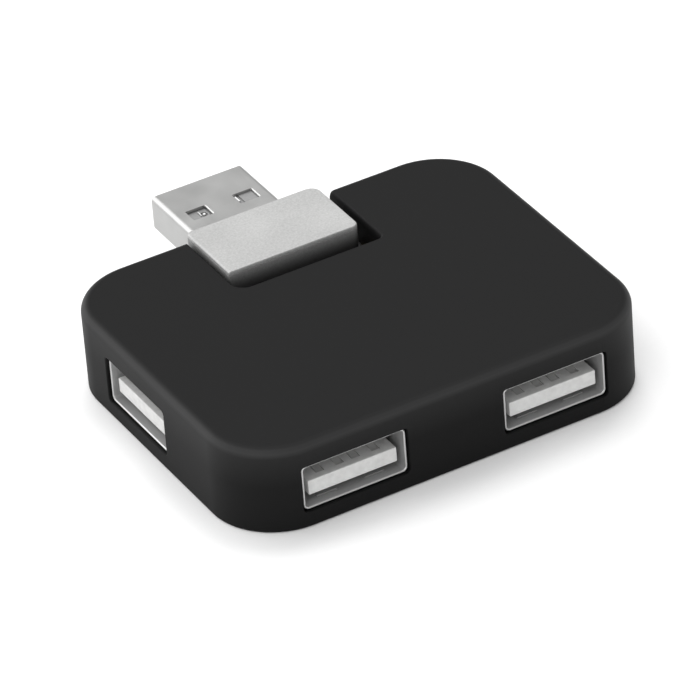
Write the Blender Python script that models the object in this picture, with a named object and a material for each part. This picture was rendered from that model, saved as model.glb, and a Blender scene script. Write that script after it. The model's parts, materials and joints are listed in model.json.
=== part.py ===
"""A four-port USB hub with a fold-under plug arm.

The hub stands on the plane z = 0 with the origin under the middle of its box. +Y points the
way the plug points when it is out, two ports look along -Y, one along -X and one along +X.
The plug arm turns about a line along X, low in a notch in the back edge, and swings down
and under until the plug lies in a recess in the underside.
"""

import math

import bmesh
import bpy
from mathutils import Matrix, Vector

MM = 0.001

# ---------------------------------------------------------------- driving dimensions
BODY_WIDTH = 52.9 * MM
BODY_DEPTH = 43.2 * MM
BODY_HEIGHT = 10.85 * MM
PLUG_OVERHANG = 11.1 * MM           # how far the plug tip stands behind the back face
CORNER_RADIUS = 8.2 * MM
TOP_FILLET = 1.1 * MM
BOTTOM_FILLET = 0.35 * MM
WALL = 1.4 * MM
CEILING = 1.2 * MM                  # thickness of the upper housing's top
SEAM = 0.3 * MM                     # gap between pieces that meet

NOTCH_LEFT = -9.5 * MM
NOTCH_RIGHT = 8.8 * MM
NOTCH_FRONT = 3.7 * MM
NOTCH_FILLET_SHARE = 0.45           # top fillet in the notch, as a share of TOP_FILLET

HINGE_Y = 8.5 * MM
HINGE_Z = 5.8 * MM
KNUCKLE_RADIUS = 2.0 * MM

ARM_LEFT = -9.25 * MM
ARM_RIGHT = 7.75 * MM
ARM_FRONT = 6.5 * MM
ARM_BACK = 16.7 * MM
ARM_TOP = 11.38 * MM
ARM_BOTTOM = 5.05 * MM
ARM_CAP_THICKNESS = 0.42 * MM
ARM_CAP_FILLET = 0.2 * MM
ARM_CAP_SEAM = 0.12 * MM
ARM_ROOF = 0.4 * MM                 # the tray's roof over the plug, under the cap
ARM_WALL = 0.85 * MM

PLUG_CENTRE_X = -2.1 * MM
PLUG_WIDTH = 12.0 * MM
PLUG_THICKNESS = 4.5 * MM
PLUG_BOTTOM = 5.8 * MM
PLUG_INNER_END = 12.0 * MM          # y of the plug shell's end inside the arm
SHEET = 0.3 * MM                    # sheet metal of the plug and port shells
WINDOW_NEAR = 1.8 * MM              # the plug's windows, from its middle line
WINDOW_FAR = 4.3 * MM
WINDOW_BACK = 7.3 * MM              # and from its tip
WINDOW_FRONT = 5.15 * MM

PORT_WIDTH = 13.1 * MM
PORT_HEIGHT = 5.72 * MM
PORT_LENGTH = 12.8 * MM
PORT_CENTRE_Z = 4.97 * MM
PORT_CORNER = 0.7 * MM
PORT_RECESS = 0.35 * MM             # rim behind the housing's face
PORT_CLEARANCE = 0.18 * MM          # gap beside the rim
PORT_CLEARANCE_ABOVE = 0.1 * MM
PORT_CLEARANCE_BELOW = 0.1 * MM
FRONT_PORT_X = 12.74 * MM
SIDE_PORT_Y = -2.1 * MM
TONGUE_WIDTH = 11.1 * MM
TONGUE_BOTTOM = -1.44 * MM          # heights from the port's centre
TONGUE_TOP = 0.4 * MM
TONGUE_RECESS = 0.5 * MM
INSULATOR_BLOCK = 3.5 * MM
CONTACT_OFFSETS = [-3.5 * MM, -1.0 * MM, 1.0 * MM, 3.5 * MM]
CONTACT_WIDTH = 0.9 * MM
CONTACT_THICKNESS = 0.25 * MM
CONTACT_PLAY = 0.12 * MM            # gap between a contact and its groove

BOARD_BOTTOM = 8.15 * MM
BOARD_THICKNESS = 1.0 * MM
BOARD_INSET = 2.0 * MM              # board edge from the housing's outline
TAIL_HOLE_RADIUS = 0.62 * MM

COVER_THICKNESS = 1.2 * MM
RECESS_CEILING = 6.95 * MM
RECESS_SKIN = 0.8 * MM
RECESS_CLEARANCE = 0.5 * MM

RIB_OFFSET = 4.0 * MM               # ribs under a port, from its middle
RIB_THICKNESS = 0.8 * MM
RIB_START = 3.0 * MM
RIB_END = 11.5 * MM

BOSS_RADIUS = 2.0 * MM
BOSS_BORE = 1.05 * MM
BOSS_SHOULDER = 2.9 * MM
SCREW_PAD_RADIUS = 2.2 * MM
SCREW_PAD_TOP = 2.2 * MM
SCREW_HEAD_RADIUS = 1.45 * MM
SCREW_SHANK_RADIUS = 0.75 * MM
SCREW_TIP = 7.2 * MM
SCREW_HEAD_TOP = 0.95 * MM          # z of the head's seat
HEAD_PLAY = 0.25 * MM
HEAD_ROOM_TOP = 1.15 * MM
FRONT_BOSS = (21.8 * MM, -21.2 * MM)
REAR_BOSS = (20.0 * MM, 10.6 * MM)

PIN_RADIUS = 1.0 * MM
TUBE_RADIUS = 1.3 * MM
TUBE_BORE = 0.95 * MM
RUNNING_GAP = 0.08 * MM             # between the arm's knuckles and the pin or the tube
HOLE_PLAY = 0.1 * MM                # between the housing's holes and the pin or the tube
PIN_BORE_DEPTH = 3.2 * MM           # in the arm's left knuckle
TUBE_BORE_DEPTH = 3.4 * MM          # in the arm's right knuckle
LEAD_RADIUS = 0.62 * MM
WIRE_RADIUS = 0.24 * MM

# ---------------------------------------------------------------- worked-out places
BACK_Y = BODY_DEPTH - (BODY_DEPTH + PLUG_OVERHANG) / 2
FRONT_Y = BACK_Y - BODY_DEPTH
PLUG_TIP_Y = BACK_Y + PLUG_OVERHANG
SIDE_X = BODY_WIDTH / 2
CAVITY_TOP = BODY_HEIGHT - CEILING
PLUG_LEFT = PLUG_CENTRE_X - PLUG_WIDTH / 2
PLUG_RIGHT = PLUG_CENTRE_X + PLUG_WIDTH / 2
PLUG_CENTRE_Z = PLUG_BOTTOM + PLUG_THICKNESS / 2
STOWED_TIP_Y = 2 * HINGE_Y - PLUG_TIP_Y
STOWED_ARM_Y = 2 * HINGE_Y - ARM_BACK
FAR = 60 * MM                       # past every face, for cutters

# (x, y, plan radius, share of the top fillet on the edge that leaves this corner)
HOUSING_CORNERS = [
    (-SIDE_X, FRONT_Y, CORNER_RADIUS, 1.0),
    (SIDE_X, FRONT_Y, CORNER_RADIUS, 1.0),
    (SIDE_X, BACK_Y, CORNER_RADIUS, 1.0),
    (NOTCH_RIGHT, BACK_Y, 0.9 * MM, NOTCH_FILLET_SHARE),
    (NOTCH_RIGHT, NOTCH_FRONT, 0.4 * MM, NOTCH_FILLET_SHARE),
    (NOTCH_LEFT, NOTCH_FRONT, 1.5 * MM, NOTCH_FILLET_SHARE),
    (NOTCH_LEFT, BACK_Y, 0.3 * MM, 1.0),
    (-SIDE_X, BACK_Y, CORNER_RADIUS, 1.0),
]

# name, place of the rim's centre on the housing's face, and turn about Z from facing -Y
PORTS = [
    ("front_left_port", (-FRONT_PORT_X, FRONT_Y), 0.0),
    ("front_right_port", (FRONT_PORT_X, FRONT_Y), 0.0),
    ("left_port", (-SIDE_X, SIDE_PORT_Y), -90.0),
    ("right_port", (SIDE_X, SIDE_PORT_Y), 90.0),
]

# colour, roughness, metallic
FINISHES = {
    "black_plastic": ((0.030, 0.030, 0.031), 0.62, 0.0),
    "silver_paint": ((0.560, 0.555, 0.540), 0.42, 0.55),
    "plated_steel": ((0.620, 0.620, 0.610), 0.28, 1.0),
    "tinned_steel": ((0.560, 0.560, 0.550), 0.36, 1.0),
    "steel": ((0.500, 0.500, 0.510), 0.35, 1.0),
    "brass": ((0.720, 0.540, 0.240), 0.30, 1.0),
    "nickel_contact": ((0.720, 0.720, 0.700), 0.34, 1.0),
    "white_plastic": ((0.780, 0.780, 0.770), 0.50, 0.0),
    "grey_plastic": ((0.240, 0.240, 0.240), 0.48, 0.0),
    "board_green": ((0.020, 0.170, 0.070), 0.45, 0.0),
    "chip_black": ((0.020, 0.020, 0.022), 0.55, 0.0),
    "ceramic_tan": ((0.480, 0.340, 0.210), 0.50, 0.0),
    "lead_grey": ((0.250, 0.250, 0.260), 0.60, 0.0),
    "wire_red": ((0.550, 0.030, 0.030), 0.50, 0.0),
    "wire_white": ((0.750, 0.750, 0.730), 0.50, 0.0),
    "wire_green": ((0.030, 0.300, 0.070), 0.50, 0.0),
    "wire_black": ((0.020, 0.020, 0.020), 0.50, 0.0),
}
WIRE_FINISHES = ["wire_red", "wire_white", "wire_green", "wire_black"]


# ---------------------------------------------------------------- tools for outlines and meshes
def clear_scene():
    for obj in list(bpy.data.objects):
        bpy.data.objects.remove(obj, do_unlink=True)


def finish(name):
    """The material of that name, made the first time that it is asked for."""
    material = bpy.data.materials.get(name)
    if material is None:
        colour, roughness, metallic = FINISHES[name]
        material = bpy.data.materials.new(name)
        material.use_nodes = True
        shader = material.node_tree.nodes["Principled BSDF"]
        shader.inputs["Base Color"].default_value = (*colour, 1.0)
        shader.inputs["Roughness"].default_value = roughness
        shader.inputs["Metallic"].default_value = metallic
        material.diffuse_color = (*colour, 1.0)
    return material


def arc_steps(radius):
    """Chords in a quarter turn of this radius."""
    return 0 if radius <= 0 else max(3, min(9, round(radius / MM) + 2))


def outline(corners, inset=0.0, even=False):
    """Plan outline, counter-clockwise, as straight runs joined by arcs.

    Each edge moves inwards by inset times its share, or by the whole inset where even is set.
    """
    shares = [1.0 if even or len(corner) < 4 else corner[3] for corner in corners]
    points = []
    for index, corner in enumerate(corners):
        here = Vector(corner[:2])
        before = Vector(corners[index - 1][:2])
        after = Vector(corners[(index + 1) % len(corners)][:2])
        way_in, way_out = (here - before).normalized(), (after - here).normalized()
        turn = math.atan2(way_in.cross(way_out), way_in.dot(way_out))
        here = here + inset * shares[index - 1] * Vector((-way_in.y, way_in.x))
        here = here + inset * shares[index] * Vector((-way_out.y, way_out.x))
        steps = arc_steps(corner[2])
        if steps == 0:
            points.append(here)
            continue
        side = math.copysign(1.0, turn)
        mean_inset = inset * (shares[index - 1] + shares[index]) / 2
        radius = max(corner[2] - side * mean_inset, 0.05 * MM)
        start = here - way_in * radius * math.tan(abs(turn) / 2)
        centre = start + side * radius * Vector((-way_in.y, way_in.x))
        for step in range(steps + 1):
            points.append(centre + Matrix.Rotation(turn * step / steps, 2) @ (start - centre))
    return points


def rectangle(x_low, x_high, y_low, y_high, radius=0.0):
    places = [(x_low, y_low), (x_high, y_low), (x_high, y_high), (x_low, y_high)]
    return [(x, y, radius) for x, y in places]


def make(name, mesh_editor, finish_name):
    """A new object from a bmesh, with its faces turned outwards."""
    bmesh.ops.recalc_face_normals(mesh_editor, faces=mesh_editor.faces)
    mesh = bpy.data.meshes.new(name)
    mesh_editor.to_mesh(mesh)
    mesh_editor.free()
    obj = bpy.data.objects.new(name, mesh)
    bpy.context.scene.collection.objects.link(obj)
    if finish_name:
        mesh.materials.append(finish(finish_name))
        mesh.shade_smooth()
        mesh.set_sharp_from_angle(angle=math.radians(35))
    return obj


def add_loft(mesh_editor, rings):
    """Skin rings of equal length and close both ends."""
    rows = [[mesh_editor.verts.new(point) for point in ring] for ring in rings]
    count = len(rows[0])
    for low, high in zip(rows, rows[1:]):
        for index in range(count):
            following = (index + 1) % count
            mesh_editor.faces.new((low[index], low[following], high[following], high[index]))
    mesh_editor.faces.new(list(reversed(rows[0])))
    mesh_editor.faces.new(rows[-1])


def loft(name, rings, finish_name=None):
    mesh_editor = bmesh.new()
    add_loft(mesh_editor, rings)
    return make(name, mesh_editor, finish_name)


def plate_rings(corners, profile, even=False):
    """Rings of a plate: profile holds (inset, z) pairs from the bottom to the top."""
    return [[(p.x, p.y, z) for p in outline(corners, inset, even)] for inset, z in profile]


def edge_profile(z_low, z_high, low_radius, high_radius, steps=4):
    """(inset, z) pairs up a wall whose bottom and top edges are rounded."""
    angles = [math.pi / 2 * step / steps for step in range(steps + 1)]
    low = [(low_radius * (1 - math.sin(a)), z_low + low_radius * (1 - math.cos(a))) for a in angles]
    high = [(high_radius * (1 - math.sin(a)), z_high - high_radius * (1 - math.cos(a))) for a in angles]
    if low_radius == 0:
        low = [(0.0, z_low)]
    if high_radius == 0:
        high = [(0.0, z_high)]
    return low + high[::-1]


def box_rings(low, high, axis="z", radius=0.0):
    """Two rings of a box, or of a bar with rounded long edges, along the named axis."""
    spans = {"x": (1, 2, 0), "y": (2, 0, 1), "z": (0, 1, 2)}[axis]
    across, up, along = spans
    shape = outline(rectangle(low[across], high[across], low[up], high[up], radius))
    rings = []
    for end in (low[along], high[along]):
        ring = []
        for p in shape:
            point = [0.0, 0.0, 0.0]
            point[across], point[up], point[along] = p.x, p.y, end
            ring.append(tuple(point))
        rings.append(ring)
    return rings


def turned_rings(stations, centre, axis="x", sides=24):
    """Rings of a turned piece: stations are (place along the axis, radius) pairs."""
    rings = []
    for along, radius in stations:
        ring = []
        for side in range(sides):
            angle = 2 * math.pi * side / sides
            u, v = radius * math.cos(angle), radius * math.sin(angle)
            if axis == "x":
                ring.append((along, centre[0] + u, centre[1] + v))
            else:
                ring.append((centre[0] + u, centre[1] + v, along))
        rings.append(ring)
    return rings


def cutter(name, solids):
    """One hidden object holding every given solid, each a list of rings."""
    mesh_editor = bmesh.new()
    for rings in solids:
        add_loft(mesh_editor, rings)
    obj = make(name, mesh_editor, None)
    obj.hide_render = True
    obj.display_type = "WIRE"
    return obj


def combine(obj, operation, tool):
    modifier = obj.modifiers.new(tool.name, "BOOLEAN")
    modifier.operation = operation
    modifier.solver = "EXACT"
    modifier.object = tool


def tube_along(name, points, radius, sides, finish_name):
    """A round bar along smooth points, as rings square to the route."""
    path = [Vector(p) for p in points]
    rings = []
    side_way = None
    for index, point in enumerate(path):
        ahead = path[min(index + 1, len(path) - 1)] - path[max(index - 1, 0)]
        ahead.normalize()
        if side_way is None:
            side_way = ahead.orthogonal().normalized()
        side_way = (side_way - ahead * side_way.dot(ahead)).normalized()
        up_way = ahead.cross(side_way)
        angles = [2 * math.pi * k / sides for k in range(sides)]
        spokes = [math.cos(a) * side_way + math.sin(a) * up_way for a in angles]
        rings.append([tuple(point + radius * spoke) for spoke in spokes])
    return loft(name, rings, finish_name)


def bezier(start, lead_out, lead_in, end, count):
    """Points on a cubic curve."""
    a, b, c, d = (Vector(p) for p in (start, lead_out, lead_in, end))
    points = []
    for index in range(count):
        t = index / (count - 1)
        s = 1 - t
        points.append(a * s ** 3 + b * 3 * t * s ** 2 + c * 3 * t ** 2 * s + d * t ** 3)
    return points


# ---------------------------------------------------------------- casing
def boss_places():
    for x, y in (FRONT_BOSS, REAR_BOSS):
        yield -x, y
        yield x, y


def window_rings(place, turn):
    """The opening in the housing's wall round one port."""
    width = PORT_WIDTH / 2 + PORT_CLEARANCE
    bottom, top = -PORT_HEIGHT / 2 - PORT_CLEARANCE_BELOW, PORT_HEIGHT / 2 + PORT_CLEARANCE_ABOVE
    radius = PORT_CORNER + PORT_CLEARANCE
    rings = box_rings((-width, -1 * MM, bottom), (width, WALL + 1 * MM, top), "y", radius)
    return [place_ring(ring, place, turn) for ring in rings]


def place_ring(ring, place, turn):
    """Move points from a port's own frame, rim at y = 0 and +y inwards, to the hub's frame."""
    matrix = Matrix.Translation((*place, PORT_CENTRE_Z)) @ Matrix.Rotation(math.radians(turn), 4, "Z")
    return [tuple(matrix @ Vector(point)) for point in ring]


def make_upper_housing():
    """Deep upper shell: top, all four sides and the walls of the notch."""
    profile = edge_profile(0.0, BODY_HEIGHT, BOTTOM_FILLET, TOP_FILLET, steps=5)
    housing = loft("upper_housing", plate_rings(HOUSING_CORNERS, profile), "black_plastic")

    cavity = plate_rings(HOUSING_CORNERS, [(WALL, -1 * MM), (WALL, CAVITY_TOP)], even=True)
    combine(housing, "DIFFERENCE", cutter("cut_cavity", [cavity]))

    stow_top = RECESS_CEILING + RECESS_SKIN + SEAM
    stow_low = (NOTCH_LEFT - WALL - 0.5 * MM, 0.0, -1 * MM)
    stow_high = (NOTCH_RIGHT + WALL + 0.5 * MM, NOTCH_FRONT, stow_top)
    combine(housing, "DIFFERENCE", cutter("cut_under_notch_wall", [box_rings(stow_low, stow_high)]))
    corner_low = (NOTCH_LEFT + 0.05 * MM, NOTCH_FRONT - 1 * MM, -2 * MM)
    corner_high = (NOTCH_RIGHT - 0.05 * MM, NOTCH_FRONT + 1.8 * MM, stow_top)
    combine(housing, "DIFFERENCE", cutter("cut_notch_corners", [box_rings(corner_low, corner_high)]))

    windows = [window_rings(place, turn) for _, place, turn in PORTS]
    combine(housing, "DIFFERENCE", cutter("cut_port_windows", windows))

    axis = (HINGE_Y, HINGE_Z)
    pin_reach, tube_reach = PIN_RADIUS + HOLE_PLAY, TUBE_RADIUS + HOLE_PLAY
    pin_hole = turned_rings([(NOTCH_LEFT - 3 * MM, pin_reach), (ARM_LEFT, pin_reach)], axis)
    tube_hole = turned_rings([(ARM_RIGHT, tube_reach), (NOTCH_RIGHT + 3 * MM, tube_reach)], axis)
    combine(housing, "DIFFERENCE", cutter("cut_hinge_holes", [pin_hole, tube_hole]))

    foot, shoulder = SCREW_PAD_TOP + SEAM, BOARD_BOTTOM + BOARD_THICKNESS + 0.2 * MM
    root = CAVITY_TOP + 0.4 * MM
    stations = [(foot, BOSS_RADIUS), (shoulder, BOSS_RADIUS)]
    stations += [(shoulder, BOSS_SHOULDER), (root, BOSS_SHOULDER)]
    bosses = [turned_rings(stations, place, "z", 20) for place in boss_places()]
    combine(housing, "UNION", cutter("add_screw_bosses", bosses))
    bores = [turned_rings([(0.0, BOSS_BORE), (SCREW_TIP + 0.6 * MM, BOSS_BORE)], place, "z", 16)
             for place in boss_places()]
    combine(housing, "DIFFERENCE", cutter("cut_screw_bores", bores))


def tub_walls():
    """Outer solids of the tub round the folded arm and plug."""
    top = RECESS_CEILING + RECESS_SKIN
    margin = RECESS_CLEARANCE + RECESS_SKIN
    beside = WALL + SEAM
    arm = box_rings((NOTCH_LEFT - beside, STOWED_ARM_Y - margin, 0.0),
                    (NOTCH_RIGHT + beside, NOTCH_FRONT - SEAM, top))
    plug = box_rings((PLUG_LEFT - margin, STOWED_TIP_Y - margin, 0.0),
                     (PLUG_RIGHT + margin, STOWED_ARM_Y, top))
    return {"arm": arm, "plug": plug}


def tub_rooms():
    """Room for the folded arm and plug, with clearance, open below and towards the notch."""
    low = -1 * MM
    arm = box_rings((NOTCH_LEFT, STOWED_ARM_Y - RECESS_CLEARANCE, low), (NOTCH_RIGHT, FAR, RECESS_CEILING))
    plug_low = (PLUG_LEFT - RECESS_CLEARANCE, STOWED_TIP_Y - RECESS_CLEARANCE, low)
    plug = box_rings(plug_low, (PLUG_RIGHT + RECESS_CLEARANCE, STOWED_ARM_Y, RECESS_CEILING))
    return {"arm": arm, "plug": plug}


def make_lower_cover():
    """Flat cover set into the housing, with the tub that the folded plug lies in."""
    inset = WALL + SEAM
    corners = []
    for x, y, radius, _ in HOUSING_CORNERS:
        in_notch = NOTCH_LEFT <= x <= NOTCH_RIGHT
        corners.append((x, y, 0.0 if in_notch else radius))
    plate = plate_rings(corners, [(inset, 0.0), (inset, COVER_THICKNESS)], even=True)
    cover = loft("lower_cover", plate, "black_plastic")
    pads = [turned_rings([(0.1 * MM, SCREW_PAD_RADIUS), (SCREW_PAD_TOP, SCREW_PAD_RADIUS)], place, "z", 20)
            for place in boss_places()]
    combine(cover, "UNION", cutter("add_screw_pads", pads))
    for label, rings in tub_walls().items():
        combine(cover, "UNION", cutter("add_tub_" + label, [rings]))
    for label, rings in tub_rooms().items():
        combine(cover, "DIFFERENCE", cutter("cut_tub_" + label, [rings]))
    ribs = [place_box(low, high, place, turn) for _, place, turn in PORTS for low, high in rib_boxes()]
    combine(cover, "UNION", cutter("add_port_ribs", ribs))
    head_reach = SCREW_HEAD_RADIUS + HEAD_PLAY
    head_room = [turned_rings([(-1 * MM, head_reach), (HEAD_ROOM_TOP, head_reach)], place, "z", 20)
                 for place in boss_places()]
    shank_room = [turned_rings([(1.0 * MM, BOSS_BORE), (FAR, BOSS_BORE)], place, "z", 16)
                  for place in boss_places()]
    combine(cover, "DIFFERENCE", cutter("cut_screw_heads", head_room))
    combine(cover, "DIFFERENCE", cutter("cut_screw_shanks", shank_room))


def rib_boxes():
    """Two ribs that hold a port's shell up, in the port's own frame."""
    foot, top = COVER_THICKNESS - 0.3 * MM - PORT_CENTRE_Z, -PORT_HEIGHT / 2 - SEAM
    for x in (-RIB_OFFSET, RIB_OFFSET):
        low = (x - RIB_THICKNESS / 2, RIB_START, foot)
        high = (x + RIB_THICKNESS / 2, RIB_END, top)
        yield low, high


def place_box(low, high, place, turn):
    return [place_ring(ring, place, turn) for ring in box_rings(low, high)]


def make_cover_screws():
    for number, place in enumerate(boss_places(), start=1):
        head = [(0.15 * MM, SCREW_HEAD_RADIUS * 0.9), (0.3 * MM, SCREW_HEAD_RADIUS),
                (SCREW_HEAD_TOP, SCREW_HEAD_RADIUS)]
        shank = [(SCREW_HEAD_TOP, SCREW_SHANK_RADIUS), (SCREW_TIP - 0.8 * MM, SCREW_SHANK_RADIUS),
                 (SCREW_TIP, SCREW_SHANK_RADIUS * 0.3)]
        screw = loft(f"cover_screw_{number}", turned_rings(head + shank, place, "z", 16), "steel")
        slots = [box_rings((place[0] - a, place[1] - b, -1 * MM), (place[0] + a, place[1] + b, 0.6 * MM))
                 for a, b in ((0.85 * MM, 0.2 * MM), (0.2 * MM, 0.85 * MM))]
        combine(screw, "DIFFERENCE", cutter(f"cut_drive_a_{number}", slots[:1]))
        combine(screw, "DIFFERENCE", cutter(f"cut_drive_b_{number}", slots[1:]))


# ---------------------------------------------------------------- ports
def make_port(name, face_place, turn):
    """One receptacle, hung under the board, so its contacts lie on top of its tongue."""
    inwards = Matrix.Rotation(math.radians(turn), 2) @ Vector((0.0, PORT_RECESS))
    place = (face_place[0] + inwards.x, face_place[1] + inwards.y)

    def placed(label, solid, finish_name):
        return loft(f"{name}_{label}", [place_ring(ring, place, turn) for ring in solid], finish_name)

    def placed_cutter(label, solids):
        moved = [[place_ring(ring, place, turn) for ring in solid] for solid in solids]
        return cutter(f"cut_{name}_{label}", moved)

    half, rise = PORT_WIDTH / 2, PORT_HEIGHT / 2
    case = box_rings((-half, 0.0, -rise), (half, PORT_LENGTH, rise), "y", PORT_CORNER)
    shell = placed("shell", case, "tinned_steel")
    bore = box_rings((-half + SHEET, -1 * MM, -rise + SHEET), (half - SHEET, FAR, rise - SHEET), "y",
                     PORT_CORNER - SHEET)
    combine(shell, "DIFFERENCE", placed_cutter("bore", [bore]))

    gap = 0.15 * MM
    block_low = (-half + SHEET + gap, PORT_LENGTH - INSULATOR_BLOCK, -rise + SHEET + gap)
    block_high = (half - SHEET - gap, PORT_LENGTH, rise - SHEET - gap)
    insulator = placed("insulator", box_rings(block_low, block_high, "y", 0.3 * MM), "white_plastic")
    tongue = box_rings((-TONGUE_WIDTH / 2, TONGUE_RECESS, TONGUE_BOTTOM),
                       (TONGUE_WIDTH / 2, PORT_LENGTH - 1 * MM, TONGUE_TOP), "y", 0.15 * MM)
    combine(insulator, "UNION", placed_cutter("tongue", [tongue]))

    floor = TONGUE_TOP - CONTACT_THICKNESS - CONTACT_PLAY
    grooves = []
    for offset in CONTACT_OFFSETS:
        reach = CONTACT_WIDTH / 2 + CONTACT_PLAY
        grooves.append(box_rings((offset - reach, TONGUE_RECESS + 0.9 * MM, floor - CONTACT_PLAY),
                                 (offset + reach, FAR, TONGUE_TOP + 0.1 * MM)))
    combine(insulator, "DIFFERENCE", placed_cutter("grooves", grooves))

    for number, offset in enumerate(CONTACT_OFFSETS, start=1):
        placed(f"contact_{number}", contact_rings(offset, floor), "nickel_contact")


def contact_rings(offset, floor):
    """A flat contact along the tongue whose tail turns up through the board, in the port's frame."""
    tail = PORT_LENGTH + 0.2 * MM
    top = BOARD_BOTTOM + BOARD_THICKNESS + 0.25 * MM - PORT_CENTRE_Z
    front, back = TONGUE_RECESS + 1.1 * MM, tail + CONTACT_THICKNESS
    upper = floor + CONTACT_THICKNESS
    side_view = [(front, floor), (back, floor), (back, top), (tail, top), (tail, upper), (front, upper)]
    sides = (offset - CONTACT_WIDTH / 2, offset + CONTACT_WIDTH / 2)
    return [[(x, y, z) for y, z in side_view] for x in sides]


# ---------------------------------------------------------------- board
def tail_places():
    """Where each contact's tail passes through the board."""
    for _, face_place, turn in PORTS:
        for offset in CONTACT_OFFSETS:
            local = (offset, PORT_RECESS + PORT_LENGTH + 0.2 * MM + CONTACT_THICKNESS / 2, 0.0)
            x, y, _ = place_ring([local], face_place, turn)[0]
            yield x, y


def make_board():
    """Board above the ports, cut round the screw bosses and drilled for the contact tails."""
    levels = [(BOARD_INSET, BOARD_BOTTOM), (BOARD_INSET, BOARD_BOTTOM + BOARD_THICKNESS)]
    board = loft("circuit_board", plate_rings(HOUSING_CORNERS, levels, even=True), "board_green")
    around_bosses = [turned_rings([(0.0, BOSS_RADIUS + SEAM), (FAR, BOSS_RADIUS + SEAM)], place, "z", 20)
                     for place in boss_places()]
    combine(board, "DIFFERENCE", cutter("cut_boss_holes", around_bosses))
    drill = [(0.0, TAIL_HOLE_RADIUS), (FAR, TAIL_HOLE_RADIUS)]
    holes = [turned_rings(drill, place, "z", 8) for place in tail_places()]
    combine(board, "DIFFERENCE", cutter("cut_tail_holes", holes))


def make_board_parts():
    """What is soldered under the board: controller, crystal and capacitors."""
    top = BOARD_BOTTOM - 0.1 * MM

    def component(name, centre, size, finish_name, radius):
        low = (centre[0] - size[0] / 2, centre[1] - size[1] / 2, top - size[2])
        high = (centre[0] + size[0] / 2, centre[1] + size[1] / 2, top)
        return loft(name, box_rings(low, high, "z", radius), finish_name)

    chip = (7.0 * MM, 7.0 * MM, 1.1 * MM)
    can = (10.4 * MM, 3.5 * MM, 3.2 * MM)
    block = (3.5 * MM, 2.8 * MM, 1.9 * MM)
    component("hub_controller", (0.0, -19.5 * MM), chip, "chip_black", 0.2 * MM)
    component("crystal", (13.6 * MM, -11.3 * MM), can, "plated_steel", 1.6 * MM)
    component("bulk_capacitor", (14.6 * MM, 12.4 * MM), block, "ceramic_tan", 0.15 * MM)
    spots = [(-14.5 * MM, -11.3 * MM), (-18.5 * MM, -11.3 * MM), (0.0, -13.6 * MM)]
    for number, spot in enumerate(spots, start=1):
        component(f"capacitor_{number}", spot, (3.0 * MM, 1.6 * MM, 1.2 * MM), "ceramic_tan", 0.12 * MM)


# ---------------------------------------------------------------- hinge and plug arm
def make_hinge():
    """Steel pin on the left, hollow tube on the right, and a washer that gives the friction."""
    axis = (HINGE_Y, HINGE_Z)
    head = NOTCH_LEFT - WALL - SEAM
    pin = [(head - 0.8 * MM, PIN_RADIUS + 0.8 * MM), (head, PIN_RADIUS + 0.8 * MM), (head, PIN_RADIUS),
           (ARM_LEFT + 2.6 * MM, PIN_RADIUS), (ARM_LEFT + 2.9 * MM, PIN_RADIUS * 0.7)]
    loft("hinge_pin", turned_rings(pin, axis), "steel")
    flange = NOTCH_RIGHT + WALL + SEAM
    tube = [(ARM_RIGHT - 3.0 * MM, TUBE_RADIUS), (flange, TUBE_RADIUS), (flange, TUBE_RADIUS + 0.7 * MM),
            (flange + 0.8 * MM, TUBE_RADIUS + 0.7 * MM)]
    tube_object = loft("hinge_tube", turned_rings(tube, axis), "brass")
    bore = turned_rings([(0.0, TUBE_BORE), (FAR, TUBE_BORE)], axis)
    combine(tube_object, "DIFFERENCE", cutter("cut_tube_bore", [bore]))

    washer_left, washer_right = ARM_RIGHT + 0.28 * MM, NOTCH_RIGHT - 0.28 * MM
    radius = KNUCKLE_RADIUS - 0.05 * MM
    ring = turned_rings([(washer_left, radius), (washer_right, radius)], axis)
    washer = loft("friction_washer", ring, "steel")
    hole = turned_rings([(0.0, TUBE_RADIUS + RUNNING_GAP), (FAR, TUBE_RADIUS + RUNNING_GAP)], axis)
    combine(washer, "DIFFERENCE", cutter("cut_washer_hole", [hole]))


def make_arm_axis():
    axis = bpy.data.objects.new("plug_arm_axis", None)
    axis.location = (0.0, HINGE_Y, HINGE_Z)
    bpy.context.scene.collection.objects.link(axis)
    return axis


def ride_on(axis, pieces):
    for piece in pieces:
        piece.parent = axis
        piece.matrix_parent_inverse = Matrix.Translation(-axis.location)


def arm_corners():
    return [(ARM_LEFT, ARM_FRONT, 0.15 * MM), (ARM_RIGHT, ARM_FRONT, 0.5 * MM),
            (ARM_RIGHT, ARM_BACK, 1.4 * MM), (ARM_LEFT, ARM_BACK, 0.7 * MM)]


def make_arm_cap():
    """Thin top plate of the arm, its edges softly rounded."""
    low = ARM_TOP - ARM_CAP_THICKNESS
    profile = edge_profile(low, ARM_TOP, 0.0, ARM_CAP_FILLET, steps=3)
    return loft("arm_cap", plate_rings(arm_corners(), profile), "silver_paint")


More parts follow.
